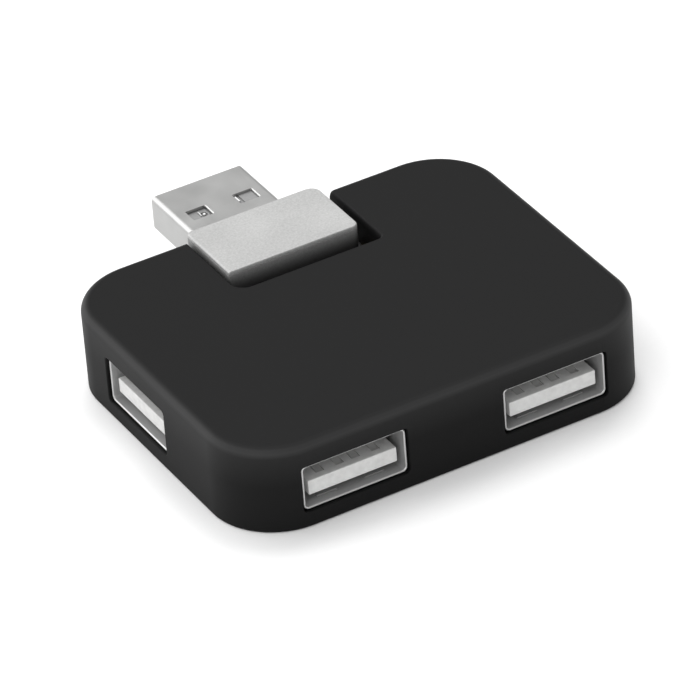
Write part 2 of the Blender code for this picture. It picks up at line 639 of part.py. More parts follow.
def make_arm_base():
    """Tray of the arm: plug pocket, wire space and the two hinge knuckles."""
    top = ARM_TOP - ARM_CAP_THICKNESS - ARM_CAP_SEAM
    room_top = top - ARM_ROOF
    base = loft("arm_base", plate_rings(arm_corners(), [(0.0, ARM_BOTTOM), (0.0, top)]), "silver_paint")
    axis = (HINGE_Y, HINGE_Z)
    knuckle = turned_rings([(ARM_LEFT, KNUCKLE_RADIUS), (ARM_RIGHT, KNUCKLE_RADIUS)], axis, sides=32)
    combine(base, "UNION", cutter("add_knuckle", [knuckle]))

    pocket_floor = PLUG_BOTTOM - SEAM
    pocket_low = (PLUG_LEFT - SEAM, HINGE_Y + KNUCKLE_RADIUS + 0.4 * MM, pocket_floor)
    pocket = box_rings(pocket_low, (PLUG_RIGHT + SEAM, FAR, room_top))
    combine(base, "DIFFERENCE", cutter("cut_plug_pocket", [pocket]))
    over_low = (ARM_LEFT + ARM_WALL, ARM_FRONT + ARM_WALL, HINGE_Z + KNUCKLE_RADIUS + 0.2 * MM)
    over = box_rings(over_low, (ARM_RIGHT - ARM_WALL, pocket_low[1] + 0.3 * MM, room_top - 0.1 * MM))
    combine(base, "DIFFERENCE", cutter("cut_wire_space", [over]))
    channel_x, channel_y = (ARM_LEFT + 3.1 * MM, ARM_RIGHT - 3.25 * MM), ARM_FRONT + ARM_WALL
    channel_low = (channel_x[0], channel_y, pocket_floor)
    channel = box_rings(channel_low, (channel_x[1], pocket_low[1] + 0.2 * MM, over_low[2] + 0.3 * MM))
    combine(base, "DIFFERENCE", cutter("cut_wire_channel", [channel]))
    dip_low = (channel_x[0], channel_y, HINGE_Z - 1.1 * MM)
    dip = box_rings(dip_low, (channel_x[1], HINGE_Y + 1.3 * MM, over_low[2] + 0.2 * MM))
    combine(base, "DIFFERENCE", cutter("cut_wire_dip", [dip]))
    pin_reach, tube_reach = PIN_RADIUS + RUNNING_GAP, TUBE_RADIUS + RUNNING_GAP
    pin_bore = turned_rings([(-FAR, pin_reach), (ARM_LEFT + PIN_BORE_DEPTH, pin_reach)], axis)
    tube_bore = turned_rings([(ARM_RIGHT - TUBE_BORE_DEPTH, tube_reach), (FAR, tube_reach)], axis)
    combine(base, "DIFFERENCE", cutter("cut_knuckle_bores", [pin_bore, tube_bore]))
    return base


def make_plug():
    """Plug shell, the insulator with its tongue in the upper half, and four contacts under it."""
    low = (PLUG_LEFT, PLUG_INNER_END, PLUG_BOTTOM)
    high = (PLUG_RIGHT, PLUG_TIP_Y, PLUG_BOTTOM + PLUG_THICKNESS)
    shell = loft("plug_shell", box_rings(low, high, "y", 0.55 * MM), "plated_steel")
    bore_low = (low[0] + SHEET, low[1] - 1 * MM, low[2] + SHEET)
    bore = box_rings(bore_low, (high[0] - SHEET, FAR, high[2] - SHEET), "y", 0.25 * MM)
    combine(shell, "DIFFERENCE", cutter("cut_plug_bore", [bore]))
    windows = []
    for side in (-1, 1):
        near, far = sorted((PLUG_CENTRE_X + side * WINDOW_NEAR, PLUG_CENTRE_X + side * WINDOW_FAR))
        windows.append(box_rings((near, PLUG_TIP_Y - WINDOW_BACK, PLUG_BOTTOM - 1 * MM),
                                 (far, PLUG_TIP_Y - WINDOW_FRONT, PLUG_BOTTOM + PLUG_THICKNESS + 1 * MM)))
    combine(shell, "DIFFERENCE", cutter("cut_plug_windows", windows))

    gap = 0.15 * MM
    tongue_bottom = PLUG_CENTRE_Z + 0.1 * MM
    block_low = (low[0] + SHEET + gap, PLUG_INNER_END + 0.2 * MM, low[2] + SHEET + gap)
    block_high = (high[0] - SHEET - gap, PLUG_TIP_Y - 9.2 * MM, high[2] - SHEET - gap)
    insulator = loft("plug_insulator", box_rings(block_low, block_high, "y", 0.15 * MM), "grey_plastic")
    tongue_low = (block_low[0] + 0.05 * MM, block_low[1] + 1 * MM, tongue_bottom)
    tongue_high = (block_high[0] - 0.05 * MM, PLUG_TIP_Y - 0.35 * MM, block_high[2] - 0.05 * MM)
    tongue = box_rings(tongue_low, tongue_high, "y", 0.1 * MM)
    combine(insulator, "UNION", cutter("add_plug_tongue", [tongue]))

    groove_top = tongue_bottom + CONTACT_THICKNESS + 2 * CONTACT_PLAY
    contact_low = tongue_bottom + CONTACT_PLAY
    grooves, contacts = [], []
    for number, offset in enumerate(CONTACT_OFFSETS, start=1):
        x = PLUG_CENTRE_X + offset
        reach = CONTACT_WIDTH / 2 + CONTACT_PLAY
        front = PLUG_TIP_Y - (1.2 * MM if number in (1, 4) else 2.2 * MM)
        groove_end = (x + reach, front + 0.15 * MM, groove_top)
        grooves.append(box_rings((x - reach, 0.0, tongue_bottom - 0.1 * MM), groove_end))
        contact = box_rings((x - CONTACT_WIDTH / 2, plug_tail_y(), contact_low),
                            (x + CONTACT_WIDTH / 2, front, contact_low + CONTACT_THICKNESS))
        contacts.append(loft(f"plug_contact_{number}", contact, "nickel_contact"))
    combine(insulator, "DIFFERENCE", cutter("cut_plug_grooves", grooves))
    return [shell, insulator, *contacts]


def plug_tail_y():
    return PLUG_INNER_END - 0.6 * MM


def make_wires():
    """A jacketed lead along the hinge axis, and its four wires at each end."""
    lead_start = ARM_RIGHT - TUBE_BORE_DEPTH
    bend = NOTCH_RIGHT + WALL + 1.6 * MM
    lead_end = Vector((bend + 1.6 * MM, HINGE_Y, HINGE_Z + 0.5 * MM))
    straight = [(x, HINGE_Y, HINGE_Z) for x in (lead_start, ARM_RIGHT, bend - 1.0 * MM)]
    lead_out = (bend + 0.7 * MM, HINGE_Y, HINGE_Z)
    lead_in = lead_end - Vector((0.6 * MM, 0, 0.2 * MM))
    curve = bezier((bend, HINGE_Y, HINGE_Z), lead_out, lead_in, lead_end, 4)
    tube_along("hinge_lead", straight + curve, LEAD_RADIUS, 8, "lead_grey")

    pitch = 1.0 * MM
    arm_wires = []
    for number, offset in enumerate(CONTACT_OFFSETS):
        spread = (number - 1.5) * pitch
        start = lead_end + Vector((0.35 * MM, spread * 0.64, 0.0))
        pad = Vector((lead_end.x + 3.2 * MM, HINGE_Y + spread * 1.6, BOARD_BOTTOM - 0.1 * MM))
        lead_out, lead_in = start + Vector((1.2 * MM, spread * 0.2, 0)), pad - Vector((0, 0, 1.2 * MM))
        route = bezier(start, lead_out, lead_in, pad, 8)
        tube_along(f"board_wire_{number + 1}", route, WIRE_RADIUS, 6, WIRE_FINISHES[number])

        tail = Vector((PLUG_CENTRE_X + offset, plug_tail_y() - 0.35 * MM, PLUG_CENTRE_Z + 0.35 * MM))
        row = 3 - number
        begin = Vector((lead_start - 0.4 * MM, HINGE_Y, HINGE_Z + (row - 1.0) * 0.7 * MM))
        reach = begin.x - tail.x
        fan = Vector((-reach * 0.5, -0.3 * MM, (row - 1.5) * 0.6 * MM))
        route = bezier(begin, begin + fan, tail + Vector((0, -0.6 * MM, (row - 1.5) * 0.9 * MM)), tail, 10)
        arm_wires.append(tube_along(f"arm_wire_{number + 1}", route, WIRE_RADIUS, 6, WIRE_FINISHES[number]))
    return arm_wires


def main():
    clear_scene()
    make_upper_housing()
    make_lower_cover()
    make_cover_screws()
    for name, place, turn in PORTS:
        make_port(name, place, turn)
    make_board()
    make_board_parts()
    make_hinge()
    arm_pieces = [make_arm_cap(), make_arm_base(), *make_plug(), *make_wires()]
    ride_on(make_arm_axis(), arm_pieces)


main()
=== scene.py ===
# %% [markdown]
# # A pocket USB hub, dressed for its picture
#
# The working model of the hub already exists: every shell, contact and screw is in place and the
# plug arm turns on its hinge. This lesson gives it its looks. We load that model as a fixed frame,
# read each piece's place from it, and then either give a piece a better material or lay a finer
# surface over it. Lengths are in metres, as in the frame, and most are written in millimetres times MM.

# %% Load the frame
import json

import bpy
import numpy as np
from mathutils import Matrix, Vector


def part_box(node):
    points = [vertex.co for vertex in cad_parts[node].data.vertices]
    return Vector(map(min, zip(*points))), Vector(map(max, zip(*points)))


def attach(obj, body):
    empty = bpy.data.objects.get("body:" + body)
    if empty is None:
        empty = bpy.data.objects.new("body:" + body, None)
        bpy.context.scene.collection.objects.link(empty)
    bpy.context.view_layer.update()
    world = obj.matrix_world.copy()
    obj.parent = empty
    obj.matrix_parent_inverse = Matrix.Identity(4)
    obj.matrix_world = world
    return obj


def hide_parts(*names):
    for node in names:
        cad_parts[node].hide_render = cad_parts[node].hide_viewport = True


MM = 0.001
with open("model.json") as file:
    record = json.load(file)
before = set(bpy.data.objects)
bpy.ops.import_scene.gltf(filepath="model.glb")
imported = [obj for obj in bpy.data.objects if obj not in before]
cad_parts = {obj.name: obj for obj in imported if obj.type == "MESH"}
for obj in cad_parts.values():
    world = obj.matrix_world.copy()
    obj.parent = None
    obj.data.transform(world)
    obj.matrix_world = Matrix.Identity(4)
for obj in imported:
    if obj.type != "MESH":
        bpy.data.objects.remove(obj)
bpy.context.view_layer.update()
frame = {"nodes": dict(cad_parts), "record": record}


# %% [markdown]
# The picture is taken from far away with a long lens, so the hub's edges stay almost parallel. We
# describe the camera as a photographer would: the point it looks at, how far round and how high it
# stands, its distance, and a slight turn about its own axis, because the camera was not quite level.

# %% Camera
LOOK_AT = Vector((-1.84 * MM, -7.03 * MM, 5.42 * MM))
CAMERA_AZIMUTH = np.radians(27.56)
CAMERA_ELEVATION = np.radians(33.80)
CAMERA_ROLL = np.radians(4.61)
CAMERA_DISTANCE = 677.5 * MM
LENS_MM = 312.95
SENSOR_MM = 36.0
NEAREST = 10 * MM
FARTHEST = 10.0


def make_camera():
    """Camera on a sphere round LOOK_AT, rolled about its own line of sight."""
    camera = bpy.data.objects.new("camera", bpy.data.cameras.new("camera"))
    bpy.context.scene.collection.objects.link(camera)
    level, rise = np.cos(CAMERA_ELEVATION), np.sin(CAMERA_ELEVATION)
    back = Vector((-np.sin(CAMERA_AZIMUTH) * level, -np.cos(CAMERA_AZIMUTH) * level, rise))
    aim = (-back).to_track_quat("-Z", "Y").to_matrix().to_4x4()
    roll = Matrix.Rotation(-CAMERA_ROLL, 4, "Z")
    camera.matrix_world = Matrix.Translation(LOOK_AT + back * CAMERA_DISTANCE) @ aim @ roll
    camera.data.lens = LENS_MM
    camera.data.sensor_width = SENSOR_MM
    camera.data.clip_start, camera.data.clip_end = NEAREST, FARTHEST
    bpy.context.scene.camera = camera


make_camera()

# %% [markdown]
# ## Writing materials as sums
#
# A procedural material is arithmetic: a colour plus a little noise, a mask times a roughness. In
# Blender each operation is a node, and a graph of them is hard to read. The class Signal wraps one
# socket and gives it +, -, * and /, so a line of Python reads like the formula and adds the Math
# nodes by itself. Everything else goes through one method, Finish.node, which takes the node's type,
# its settings, and what is plugged into its sockets.


# %% A socket that can be added and multiplied
class Signal:
    """One output socket, with arithmetic that builds Math nodes."""

    def __init__(self, finish, socket):
        self.finish, self.socket = finish, socket

    def math(self, operation, first, second):
        inputs = {0: first, 1: second}
        node = self.finish.node("ShaderNodeMath", {"operation": operation}, inputs)
        return Signal(self.finish, node.outputs[0])

    def __add__(self, other):
        return self.math("ADD", self, other)

    def __radd__(self, other):
        return self.math("ADD", other, self)

    def __sub__(self, other):
        return self.math("SUBTRACT", self, other)

    def __rsub__(self, other):
        return self.math("SUBTRACT", other, self)

    def __mul__(self, other):
        return self.math("MULTIPLY", self, other)

    def __rmul__(self, other):
        return self.math("MULTIPLY", other, self)

    def __truediv__(self, other):
        return self.math("DIVIDE", self, other)

    def above(self, other):
        """1 where this is greater than the other, and 0 elsewhere."""
        return self.math("GREATER_THAN", self, other)


class Finish:
    """A material under construction, with its Principled shader ready."""

    def __init__(self, name):
        self.material = bpy.data.materials.new(name)
        self.material.use_nodes = True
        self.nodes = self.material.node_tree.nodes
        self.links = self.material.node_tree.links
        self.shader = self.nodes["Principled BSDF"]
        self.place = self.output("ShaderNodeTexCoord", {}, {}, "Object")

    def node(self, kind, settings, inputs):
        """Add a node: its settings first, then a value or a link for each named socket."""
        node = self.nodes.new(kind)
        for name, value in settings.items():
            if name == "ramp":
                self.fill_ramp(node.color_ramp, value)
            else:
                setattr(node, name, value)
        for key, value in inputs.items():
            self.plug(node.inputs[key], value)
        return node

    def fill_ramp(self, ramp, stops):
        """Give a colour ramp its (position, colour) stops in place of its own two."""
        while len(ramp.elements) > 1:
            ramp.elements.remove(ramp.elements[-1])
        ramp.elements[0].position, ramp.elements[0].color = stops[0][0], (*stops[0][1], 1.0)
        for position, colour in stops[1:]:
            ramp.elements.new(position).color = (*colour, 1.0)

    def plug(self, socket, value):
        """Link a signal to a socket, or set a plain value on it; a colour gets its alpha."""
        if isinstance(value, Signal):
            self.links.new(value.socket, socket)
        elif isinstance(value, tuple) and len(value) == 3 and socket.type == "RGBA":
            socket.default_value = (*value, 1.0)
        else:
            socket.default_value = value

    def output(self, kind, settings, inputs, name):
        return Signal(self, self.node(kind, settings, inputs).outputs[name])

    def noise(self, per_metre, detail=2.0, roughness=0.5, vector=None):
        inputs = {"Vector": vector or self.place, "Scale": per_metre}
        inputs |= {"Detail": detail, "Roughness": roughness}
        return self.output("ShaderNodeTexNoise", {}, inputs, "Fac")

    def attribute(self, name):
        return self.output("ShaderNodeAttribute", {"attribute_name": name}, {}, "Fac")

    def coordinate(self, axis):
        return self.output("ShaderNodeSeparateXYZ", {}, {"Vector": self.place}, axis)

    def stretched(self, scale):
        """The object's coordinates with each axis scaled, to draw a pattern out along one way."""
        return self.output("ShaderNodeMapping", {}, {"Vector": self.place, "Scale": scale}, "Vector")

    def mix(self, share, dark, light):
        """Colour between two: the Mix node's sockets 6 and 7 are its colours, and output 2 the result."""
        inputs = {"Factor": share, 6: dark, 7: light}
        return Signal(self, self.node("ShaderNodeMix", {"data_type": "RGBA"}, inputs).outputs[2])

    def bump(self, height, depth):
        """Normals of a relief this deep, in metres, from a height between 0 and 1."""
        inputs = {"Height": height, "Distance": depth, "Strength": 1.0}
        return self.output("ShaderNodeBump", {}, inputs, "Normal")

    def surface(self, **values):
        """Set the shader: colour, roughness, metallic, normal by name."""
        for name, value in values.items():
            socket_name = name.replace("_", " ").title().replace("Ior", "IOR")
            self.plug(self.shader.inputs[socket_name], value)
        return self.material


# %% [markdown]
# ## The finishes
#
# The housing is moulded plastic with a matt, slightly rubbery coat. Such a coat is never quite
# even: under a lens it has a fine pebble grain, and its gloss changes a little from place to place
# where it was touched or sprayed thicker. Both come from noise, one very fine for the relief and
# one broad for the roughness. The rolled top edge carries a painted highlight: it is a shade lighter
# and a little glossier, and the painted highlight fades out down the walls. The mask is a ramp over
# the height, where 0 is the table and 1 the flat top, and it is left out of the notch.


# %% Where the painted highlight is
housing_low, housing_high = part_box("upper_housing")
arm_low, arm_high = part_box("arm_base")
NOTCH_LEFT = arm_low.x - 0.25 * MM
NOTCH_RIGHT = arm_high.x + 1.05 * MM
NOTCH_FRONT = arm_low.y - 2.8 * MM
NOTCH_MARGIN = 1.0 * MM
TOP_EDGE = 1.15 * MM
EDGE_START = 1.0 - TOP_EDGE / housing_high.z
HIGHLIGHT_START = 0.55
FLAT_START = 0.9995


def grey(level):
    return level, level, level


def edge_highlight_ramp():
    """Stops over height/top for the painted highlight: a faint fade up the wall, the most inside the edge,
    none on the top.
    """
    edge = 1 - EDGE_START
    stops = [(0.0, 0.0), (HIGHLIGHT_START, 0.0), (EDGE_START, 0.30), (EDGE_START + 0.5 * edge, 1.0),
             (EDGE_START + 0.8 * edge, 0.75), (FLAT_START, 0.0)]
    return [(place, grey(share)) for place, share in stops]


print("the edge starts at", round(EDGE_START, 3), "of the housing's height")


# %% Matt black coat
COAT_GRAIN = 7500.0
COAT_CLOUD = 90.0
COAT_RELIEF = 0.0022 * MM


def matt_black_coat():
    """Tone: dark cloud, mixed with a lighter tone along the top edge that is a painted highlight. The gloss
    grows there too.
    """
    finish = Finish("matt_black_coat")
    grain = finish.noise(COAT_GRAIN, detail=3.0)
    cloud = finish.noise(COAT_CLOUD, detail=2.0)
    tone = finish.mix(cloud, (0.0036, 0.0036, 0.0037), (0.0054, 0.0054, 0.0055))
    x, y, z = (finish.coordinate(axis) for axis in "XYZ")
    height = {"Fac": z / housing_high.z}
    painted_highlight = finish.output("ShaderNodeValToRGB", {"ramp": edge_highlight_ramp()}, height, "Color")
    # No painted highlight in the notch or just beside it.
    beside = x.above(NOTCH_LEFT - NOTCH_MARGIN) - x.above(NOTCH_RIGHT + NOTCH_MARGIN)
    painted_highlight = painted_highlight * (1.0 - beside * y.above(NOTCH_FRONT - NOTCH_MARGIN))
    # The lighter tone along the top edge is a painted highlight; the coat there adds real gloss.
    return finish.surface(
        base_color=finish.mix(painted_highlight, tone, (0.0320, 0.0320, 0.0322)),
        roughness=0.50 + 0.08 * cloud + 0.05 * grain,
        specular_ior_level=0.11,
        coat_weight=0.06 * painted_highlight,
        coat_roughness=0.36,
        normal=finish.bump(grain, COAT_RELIEF),
    )


# %% [markdown]
# The arm is sprayed with a silver paint. Metal flakes lie at all angles in it, so it sparkles
# softly and looks sandy. One noise at flake size drives tone, gloss and relief together, which
# gives that without any single bright dot. Down the tray's sides the silver is painted darker,
# towards near black, as painted shade in the notch. A mask read from the object's Z does this.
# The silver is full only above the arm, so even the upper edge of the sides is a little shaded.


# %% Silver paint
FLAKES = 4200.0
FLAKE_RELIEF = 0.016 * MM
PAINT_CLOUD = 120.0
SHADE_DARKEST_HEIGHT = 8.3 * MM
SHADE_END_HEIGHT = 12.8 * MM


def silver_paint(name, shade_below=False):
    """Paint at full strength, or with painted shade: darker from the height where it is full down to the
    height where only near black is left.
    """
    finish = Finish(name)
    flakes = finish.noise(FLAKES, detail=4.0, roughness=0.75)
    cloud = finish.noise(PAINT_CLOUD)
    speckle = 0.75 * flakes + 0.25 * cloud
    tone = finish.mix(speckle, (0.16, 0.16, 0.159), (0.63, 0.63, 0.623))
    cover = 1.0
    # Painted shade: the silver fades to near black towards the bottom of the tray's sides.
    if shade_below:
        settings = {"interpolation_type": "SMOOTHSTEP"}
        inputs = {"Value": finish.coordinate("Z"), "From Min": SHADE_DARKEST_HEIGHT, "From Max": SHADE_END_HEIGHT}
        cover = finish.output("ShaderNodeMapRange", settings, inputs, "Result")
        tone = finish.mix(cover, grey(0.02), tone)
    return finish.surface(
        base_color=tone,
        metallic=0.35 * cover,
        roughness=0.42 + 0.16 * flakes,
        normal=finish.bump(flakes, FLAKE_RELIEF),
    )


# %% [markdown]
# The plug and socket shells are stamped from plated sheet. Rolling leaves hair-fine lines along
# the sheet, so the noise is drawn out along Y, and tumbling leaves a faint cloudiness. Behind a
# socket's bright rim the sheet is painted darker, as shade inside the socket, and it is also rougher.


# %% Plated sheet metal
ROLLING_RELIEF = 0.0012 * MM
PLATING_CLOUD = 260.0


def plated_sheet(name, stretch, tone_low, tone_high, roughness, shaded_tone=None):
    """Bright sheet; where the mesh's point attribute is 1, it is painted darker as shade and is rougher and
    less metallic.
    """
    finish = Finish(name)
    lines = finish.noise(1.0, detail=3.0, vector=finish.stretched(stretch))
    cloud = finish.noise(PLATING_CLOUD, detail=3.0)
    tone = finish.mix(cloud, tone_low, tone_high)
    roughness = roughness + 0.10 * lines + 0.08 * cloud
    metallic = 1.0
    if shaded_tone:
        dull = finish.attribute("dull")
        tone = finish.mix(dull, tone, shaded_tone)
        roughness = roughness + 0.12 * dull
        metallic = 1.0 - 0.45 * dull
    return finish.surface(
        base_color=tone,
        metallic=metallic,
        roughness=roughness,
        normal=finish.bump(lines, ROLLING_RELIEF),
    )


# %% [markdown]
# The rest are small parts: off-white nylon, nickel-plated contacts, a green board, chips, screws
# and wires. Each still gets its own grain at its own scale, because up close a flat colour reads
# as unfinished.


# %% Plain finishes with grain and cloud
BROAD_CLOUD = 300.0
NYLON_GRAIN = 4500.0
NYLON_RELIEF = 0.004 * MM


def grained(name, tone_low, tone_high, roughness, grains, depth, metallic=0.0, clouds=BROAD_CLOUD):
    """Colour drifts between two tones with a broad noise, and a fine noise gives the relief."""
    finish = Finish(name)
    grain = finish.noise(grains, detail=3.0)
    cloud = finish.noise(clouds, detail=2.0)
    return finish.surface(
        base_color=finish.mix(cloud, tone_low, tone_high),
        roughness=roughness + 0.12 * grain,
        normal=finish.bump(grain, depth),
        metallic=metallic,
    )


def nylon_with_painted_glints():
    """Grey nylon whose raised moulding marks are painted near white as a glint, told by a point attribute.
    """
    finish = Finish("grey_nylon")
    grain = finish.noise(NYLON_GRAIN, detail=3.0)
    tone = finish.mix(grain, grey(0.20), grey(0.30))
    return finish.surface(
        base_color=finish.mix(finish.attribute("pale"), tone, grey(0.85)),
        roughness=0.42 + 0.12 * grain,
        normal=finish.bump(grain, NYLON_RELIEF),
    )


# %% Solder mask
RUNS_PER_METRE = 260.0
RUN_THRESHOLD = 0.62
MASK_GRAIN = 5200.0
RUN_RELIEF = 0.02 * MM


def board_mask():
    """Green solder mask: copper runs show through as slightly raised, lighter lines."""
    finish = Finish("board_mask")
    settings = {"wave_type": "BANDS", "bands_direction": "DIAGONAL"}
    inputs = {"Vector": finish.place, "Scale": RUNS_PER_METRE}
    inputs |= {"Distortion": 3.0, "Detail": 1.0, "Detail Scale": 40.0}
    runs = finish.output("ShaderNodeTexWave", settings, inputs, "Fac").above(RUN_THRESHOLD)
    grain = finish.noise(MASK_GRAIN)
    return finish.surface(
        base_color=finish.mix(runs, (0.010, 0.110, 0.045), (0.022, 0.190, 0.075)),
        roughness=0.30 + 0.12 * grain,
        normal=finish.bump(0.7 * runs + 0.3 * grain, RUN_RELIEF),
    )


# %% [markdown]
# The table of finishes has one entry for each slot of the working model. Two more are looks for
# single pieces: the tray's sides with painted shade and the washer's steel painted dark as shade.
# The plain finishes differ only in tone, gloss and grain, so each of them is one row of a table.

# %% The table of finishes
PLUG_LINES = (6500.0, 350.0, 6500.0)
PLUG_TONES = (0.36, 0.36, 0.356), (0.46, 0.46, 0.455)
SOCKET_LINES = (6500.0, 700.0, 6500.0)
SOCKET_TONES = (0.46, 0.46, 0.456), (0.60, 0.60, 0.595)
NYLON_CLOUD = 1300.0

# Each row: name, darker tone, lighter tone, roughness, grains per metre, relief in mm.
PLAIN_ROWS = {
    "steel": ("zinc_screw", (0.42, 0.42, 0.43), (0.58, 0.58, 0.60), 0.28, 5000.0, 0.002),
    # This row is the washer's steel made near black as painted shade in the notch.
    "steel_shade_dark": ("blackened_steel", grey(0.03), grey(0.05), 0.40, 5000.0, 0.002),
    "brass": ("turned_brass", (0.60, 0.43, 0.17), (0.76, 0.58, 0.27), 0.22, 6000.0, 0.002),
    "nickel_contact": ("nickel_plate", (0.42, 0.42, 0.41), (0.52, 0.52, 0.51), 0.45, 6000.0, 0.001),
    "white_plastic": ("off_white_nylon", (0.50, 0.50, 0.495), (0.70, 0.70, 0.69), 0.40, 4500.0, 0.004),
    "chip_black": ("chip_epoxy", (0.014, 0.014, 0.015), (0.024, 0.024, 0.026), 0.48, 8000.0, 0.006),
    "ceramic_tan": ("chip_ceramic", (0.36, 0.25, 0.15), (0.50, 0.36, 0.23), 0.45, 7000.0, 0.004),
    "lead_grey": ("lead_jacket", (0.20, 0.20, 0.21), (0.28, 0.28, 0.29), 0.50, 4000.0, 0.004),
    "wire_red": ("red_wire", (0.46, 0.02, 0.02), (0.60, 0.04, 0.04), 0.42, 5000.0, 0.003),
    "wire_white": ("white_wire", (0.66, 0.66, 0.64), (0.78, 0.78, 0.76), 0.42, 5000.0, 0.003),
    "wire_green": ("green_wire", (0.02, 0.25, 0.05), (0.04, 0.36, 0.09), 0.42, 5000.0, 0.003),
    "wire_black": ("black_wire", grey(0.015), grey(0.028), 0.42, 5000.0, 0.003),
}
METALLIC = {"steel": 1.0, "steel_shade_dark": 0.6, "brass": 1.0, "nickel_contact": 0.15}
CLOUDS = {"white_plastic": NYLON_CLOUD}

FINISHES = {
    "black_plastic": matt_black_coat(),
    "silver_paint": silver_paint("silver_paint"),
    # The tray's sides: silver with painted shade towards the bottom.
    "silver_paint_sides": silver_paint("silver_paint_sides", shade_below=True),
    "plated_steel": plated_sheet("plated_sheet", PLUG_LINES, *PLUG_TONES, 0.24),
    # Sockets: painted shade on the sheet inside, behind the rim.
    "tinned_steel": plated_sheet("tinned_sheet", SOCKET_LINES, *SOCKET_TONES, 0.32, shaded_tone=grey(0.42)),
    "grey_plastic": nylon_with_painted_glints(),
    "board_green": board_mask(),
}
for key, (*row, relief) in PLAIN_ROWS.items():
    FINISHES[key] = grained(*row, relief * MM, METALLIC.get(key, 0.0), CLOUDS.get(key, BROAD_CLOUD))
print("finishes:", len(FINISHES))

# %% [markdown]
# Every node of the frame first gets the finish of its slot. The pieces that we remake below
# replace their nodes, and the others keep this finish.

# %% Dress the frame's nodes
SLOT_OF = {row["node"]: row["material_slot"] for row in frame["record"]["subparts"]}
BODY_OF = {node: body for body, nodes in frame["record"]["behaviour"]["bodies"].items() for node in nodes}

for node_name, node_object in frame["nodes"].items():
    node_object.data.materials.clear()
    node_object.data.materials.append(FINISHES[SLOT_OF[node_name]])

# %% [markdown]
# ## Surfaces from arrays
#
# Most pieces here are one idea repeated: a flat outline with rounded corners, carried up or along
# while it shrinks a little, so that edges come out rounded. The outline is a row of points and the
# carry is a column of (inset, height) pairs. Together they are a grid of points, which NumPy works
# out at once, and each cell of the grid is one face.

# %% Outlines
ARC_CHORD = 0.11 * MM
FEWEST_STEPS, MOST_STEPS = 4, 48
ARC_PER_RADIUS = 1.6
SMALLEST_RADIUS = 0.01 * MM
GUARD = 0.04 * MM


def unit(vector):
    return vector / np.linalg.norm(vector)


def corner_arc(before, here, after, radius, inset_in, inset_out, steps):
    """Points of one rounded corner: both edges move inwards by their insets, and an arc joins them."""
    way_in, way_out = unit(here - before), unit(after - here)
    cross = way_in[0] * way_out[1] - way_in[1] * way_out[0]
    turn = np.arctan2(cross, way_in @ way_out)
    left_in, left_out = np.array([-way_in[1], way_in[0]]), np.array([-way_out[1], way_out[0]])
    here = here + inset_in * left_in + inset_out * left_out
    if radius <= 0:
        return here[None, :]
    side = np.sign(turn)
    radius = max(radius - side * (inset_in + inset_out) / 2, SMALLEST_RADIUS)
    start = here - way_in * radius * np.tan(abs(turn) / 2)
    centre = start + side * radius * left_in
    angles = turn * np.linspace(0, 1, steps + 1)
    spoke = start - centre
    x = spoke[0] * np.cos(angles) - spoke[1] * np.sin(angles)
    y = spoke[0] * np.sin(angles) + spoke[1] * np.cos(angles)
    arc = centre + np.stack([x, y], axis=1)
    guard = min(GUARD, radius / 4)
    return np.vstack([arc[:1] - guard * way_in, arc, arc[-1:] + guard * way_out])


def outline(corners, inset=0.0, even=True):
    """A closed outline, counter-clockwise. A corner is (x, y, radius, share of the inset on its edge)."""
    points = [np.array(corner[:2], float) for corner in corners]
    shares = [1.0 if even or len(corner) < 4 else corner[3] for corner in corners]
    arcs = []
    for index, corner in enumerate(corners):
        steps = int(np.clip(round(ARC_PER_RADIUS * corner[2] / ARC_CHORD), FEWEST_STEPS, MOST_STEPS))
        after = points[(index + 1) % len(points)]
        insets = inset * shares[index - 1], inset * shares[index]
        arcs.append(corner_arc(points[index - 1], points[index], after, corner[2], *insets, steps))
    return np.concatenate(arcs)


def box_corners(x_low, x_high, y_low, y_high, radius):
    """Counter-clockwise corners of a rectangle, from the low one."""
    places = (x_low, y_low), (x_high, y_low), (x_high, y_high), (x_low, y_high)
    return [(x, y, radius) for x, y in places]


def round_edge(radius, steps=6):
    """(inset, drop) pairs of a quarter-round edge, from the wall up to the flat."""
    angles = np.linspace(0, np.pi / 2, steps + 1)
    return [(radius * (1 - np.cos(a)), radius * (1 - np.sin(a))) for a in angles]


# %% [markdown]
# A smooth-shaded mesh borrows each corner's normal from all faces that meet there. Where a broad
# flat meets a small round, the flat would be shaded as if it bent. A guard ring, a second ring a
# hair inside the flat, keeps the bend where it belongs, so plate_profile adds one at each end, as
# corner_arc does beside each arc.


# %% Profiles and skins
def plate_profile(z_low, z_high, low_radius, high_radius, steps=6):
    """(inset, z) pairs up a plate's side, with rounded edges and guard rings on the flats."""
    low = [(inset, z_low + drop) for inset, drop in round_edge(low_radius, steps)][::-1]
    high = [(inset, z_high - drop) for inset, drop in round_edge(high_radius, steps)]
    inner_low, inner_high = (low_radius + GUARD, z_low), (high_radius + GUARD, z_high)
    wall = [(0.0, z_low + low_radius + GUARD), (0.0, z_high - high_radius - GUARD)]
    return [inner_low, *low, *wall, *high, inner_high]


def rings_up(corners, profile, even=True):
    """Grid of rings: each (inset, z) pair of the profile carries the outline up by one row."""
    rows = []
    for inset, z in profile:
        ring = outline(corners, inset, even)
        rows.append(np.column_stack([ring, np.full(len(ring), z)]))
    return np.stack(rows)


